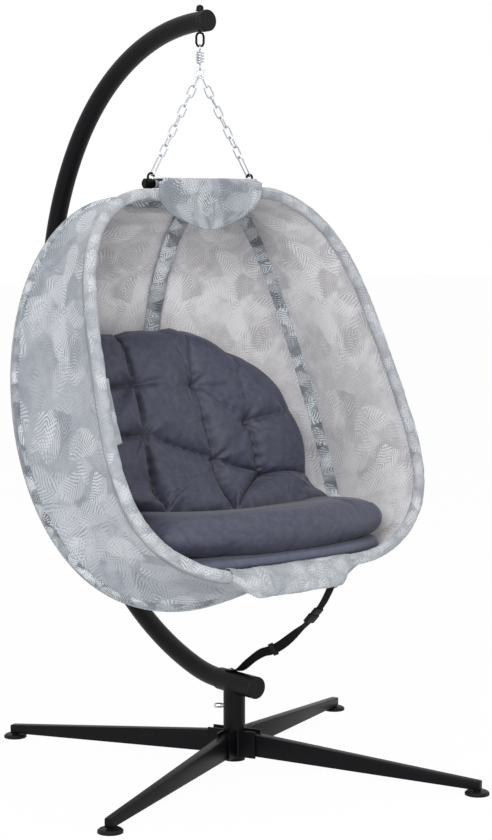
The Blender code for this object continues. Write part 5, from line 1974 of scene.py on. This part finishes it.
    def build_glide(self) -> None:
        """The tri-glide: a moulded frame that the webbing threads through."""
        place = self.block(self.glide, self.glide_way, self.turned)
        size = (self.buckle_width, self.glide_length, self.glide_thickness)
        form = rounded_block(size, place, self.glide_rounding)
        made = make_piece("tri_glide", form, (self.plastic,), Slot.PLASTIC)
        ends = [self.glide + self.glide_way * (end * self.glide_length) for end in (-1.0, 1.0)]
        self.share_swing(made, ends, self.glide_share, self.glide_share)
        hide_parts("strap_glide")

    def build_buckle(self) -> None:
        """The buckle's socket and plug."""
        way, wide, thick = self.buckle_way, self.buckle_width, self.buckle_thickness
        halves = (
            ("socket", -self.plug_length, (wide, self.socket_length - 2 * GAP, thick), 0.0028),
            ("plug", self.socket_length, (wide * 0.9, self.plug_length - 2 * GAP, thick * 0.8), 0.0022),
        )
        for name, offset, size, rounding in halves:
            form = rounded_block(size, self.block(self.buckle + way * offset / 2, way), rounding)
            made = make_piece(name, form, (self.plastic,), Slot.PLASTIC)
            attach(made, "hanger")
            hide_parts(f"buckle_{name}")


# Studio

@dataclass
class Studio:
    """A plain pale floor, soft lamps and the camera at the photograph's viewing angle."""

    azimuth: float = math.radians(-39.5)
    elevation: float = math.radians(5.72)
    distance: float = 5.40
    aim: Vector = field(default_factory=lambda: Vector((0.0236, -0.0195, 0.9050)))
    focal_px: float = 2098.1
    picture_px: int = 840
    sensor_mm: float = 36.0
    lamp_aim: Vector = field(default_factory=lambda: Vector((0.0, 0.0, 1.0)))
    sky: float = 0.48               # the world's light, apart from what shows of it
    floor_glow: float = 0.97
    floor_half: float = 30.0
    floor_drop: float = 0.0005      # below the feet, so that no faces lie in each other

    def build(self) -> None:
        """Makes the whole studio."""
        self.build_world()
        self.build_floor()
        self.build_lamps()
        self.build_camera()
        bpy.context.scene.view_settings.view_transform = "Standard"

    def seen(self, nodes: Nodes) -> Socket:
        """1 for rays that show the background: from the camera, or mirrored or passed on to it."""
        path = nodes.add("LightPath")
        both = nodes.maths("MAXIMUM", path.outputs["Is Camera Ray"], path.outputs["Is Glossy Ray"])
        return nodes.maths("MAXIMUM", both, path.outputs["Is Transmission Ray"])

    def build_world(self) -> None:
        """A white world that lights the object softly."""
        world = bpy.data.worlds.new("studio")
        world.use_nodes = True
        nodes = Nodes(world.node_tree)
        strength = nodes.remap(self.seen(nodes), UNIT, (self.sky, 1.0))
        nodes.connect(nodes.tree.nodes["Background"], {"Color": (1.0, 1.0, 1.0, 1.0), "Strength": strength})
        bpy.context.scene.world = world

    def build_floor(self) -> None:
        """A pale floor that keeps a faint shadow."""
        form = bmesh.new()
        bmesh.ops.create_grid(form, x_segments=1, y_segments=1, size=self.floor_half)
        mesh = bpy.data.meshes.new("floor")
        form.to_mesh(mesh)
        form.free()
        material, nodes, shader = start_material("pale_floor")
        nodes.connect(shader, {"Base Color": (0.9, 0.9, 0.9, 1.0), "Roughness": 0.9})
        glow = nodes.add("Emission", {"Strength": 1.0})
        share = nodes.maths("MULTIPLY", self.seen(nodes), self.floor_glow)
        mix = nodes.add("MixShader", {0: share, 1: shader.outputs[0], 2: glow.outputs[0]})
        nodes.connect(nodes.tree.nodes["Material Output"], {"Surface": mix.outputs[0]})
        mesh.materials.append(material)
        floor = place_object("floor", mesh)
        floor.location.z = -self.floor_drop
        floor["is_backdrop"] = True

    def build_lamps(self) -> None:
        """Large soft lamps: a key from the front left, a fill from the front right and one from above."""
        lamps = (
            ("key", Vector((-3.8, -3.2, 2.8)), 2.4, 185.0),
            ("fill", Vector((3.4, -3.0, 2.2)), 3.0, 24.0),
            ("top", Vector((0.2, 0.4, 4.6)), 3.0, 50.0),
        )
        for name, place, size, power in lamps:
            lamp = bpy.data.lights.new(name, "AREA")
            lamp.size = size
            lamp.energy = power
            made = place_object(name, lamp)
            made.location = place
            made.rotation_euler = (self.lamp_aim - place).to_track_quat("-Z", "Y").to_euler()

    def build_camera(self) -> None:
        """The camera at the photograph's angle, distance and focal length."""
        lens = bpy.data.cameras.new("camera")
        lens.sensor_width = self.sensor_mm
        lens.lens = self.focal_px / self.picture_px * self.sensor_mm
        made = place_object("camera", lens)
        level, rise = math.cos(self.elevation), math.sin(self.elevation)
        back = Vector((math.sin(self.azimuth) * level, -math.cos(self.azimuth) * level, rise))
        made.location = self.aim + back * self.distance
        made.rotation_euler = (-back).to_track_quat("-Z", "Y").to_euler()
        bpy.context.scene.camera = made


def main() -> None:
    """Builds the studio and every sub-assembly of the chair."""
    logging.basicConfig(level=logging.INFO, format="%(message)s")
    Studio().build()
    coat = PowderCoat().material()
    plastic = MouldedPlastic().material()
    zinc = ZincPlate().material()
    webbing = Webbing().material()
    outside = PrintedCloth("printed_cloth_outside", "#9EA1A9", "#727983", "#CDD0D5", seam_mm=30.0).material()
    inside = PrintedCloth("printed_cloth_inside", "#DCDADC", "#A09EA2", "#EFEEEF", 0.8).material()
    edging = PrintedCloth("rim_casing", "#A9ADB3", "#7C8289", "#DADDE1", 0.6, sprig_mm=60.0,
                          frond_mm=9.0, crumple_mm=3.0).material()
    flap = PrintedCloth("printed_cloth_flap", "#A0A4AC", "#5F6670", "#D5D9DD", 0.9, sprig_mm=95.0,
                        frond_mm=9.5).material()
    casing = PrintedCloth("gathered_casing", "#8E949C", "#3A424B", "#E6ECF0", 0.85, sprig_mm=60.0,
                          frond_mm=8.0, crumple_mm=5.0).material()
    slate = CushionCloth("slate_microfibre", "#313346", "#454759").material()
    pale_slate = CushionCloth("pad_microfibre", "#4D5162", "#5D6172").material()

    pod = PodFrame()
    Stand(coat, plastic, zinc).build()
    Suspension(zinc).build()
    Tether(pod, webbing, plastic).build()
    Shell(pod, outside, inside, casing, edging).build()
    FrontApron(pod, edging).build()
    SidePocket(pod, edging).build()
    TopFlap(pod, flap).build()
    Seat(pod, slate, pale_slate).build()

    sizes = {"cad": CAD_BOX, "visual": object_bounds()}
    {name: [list(corner) for corner in box] for name, box in sizes.items()}


if __name__ == "__main__":
    main()
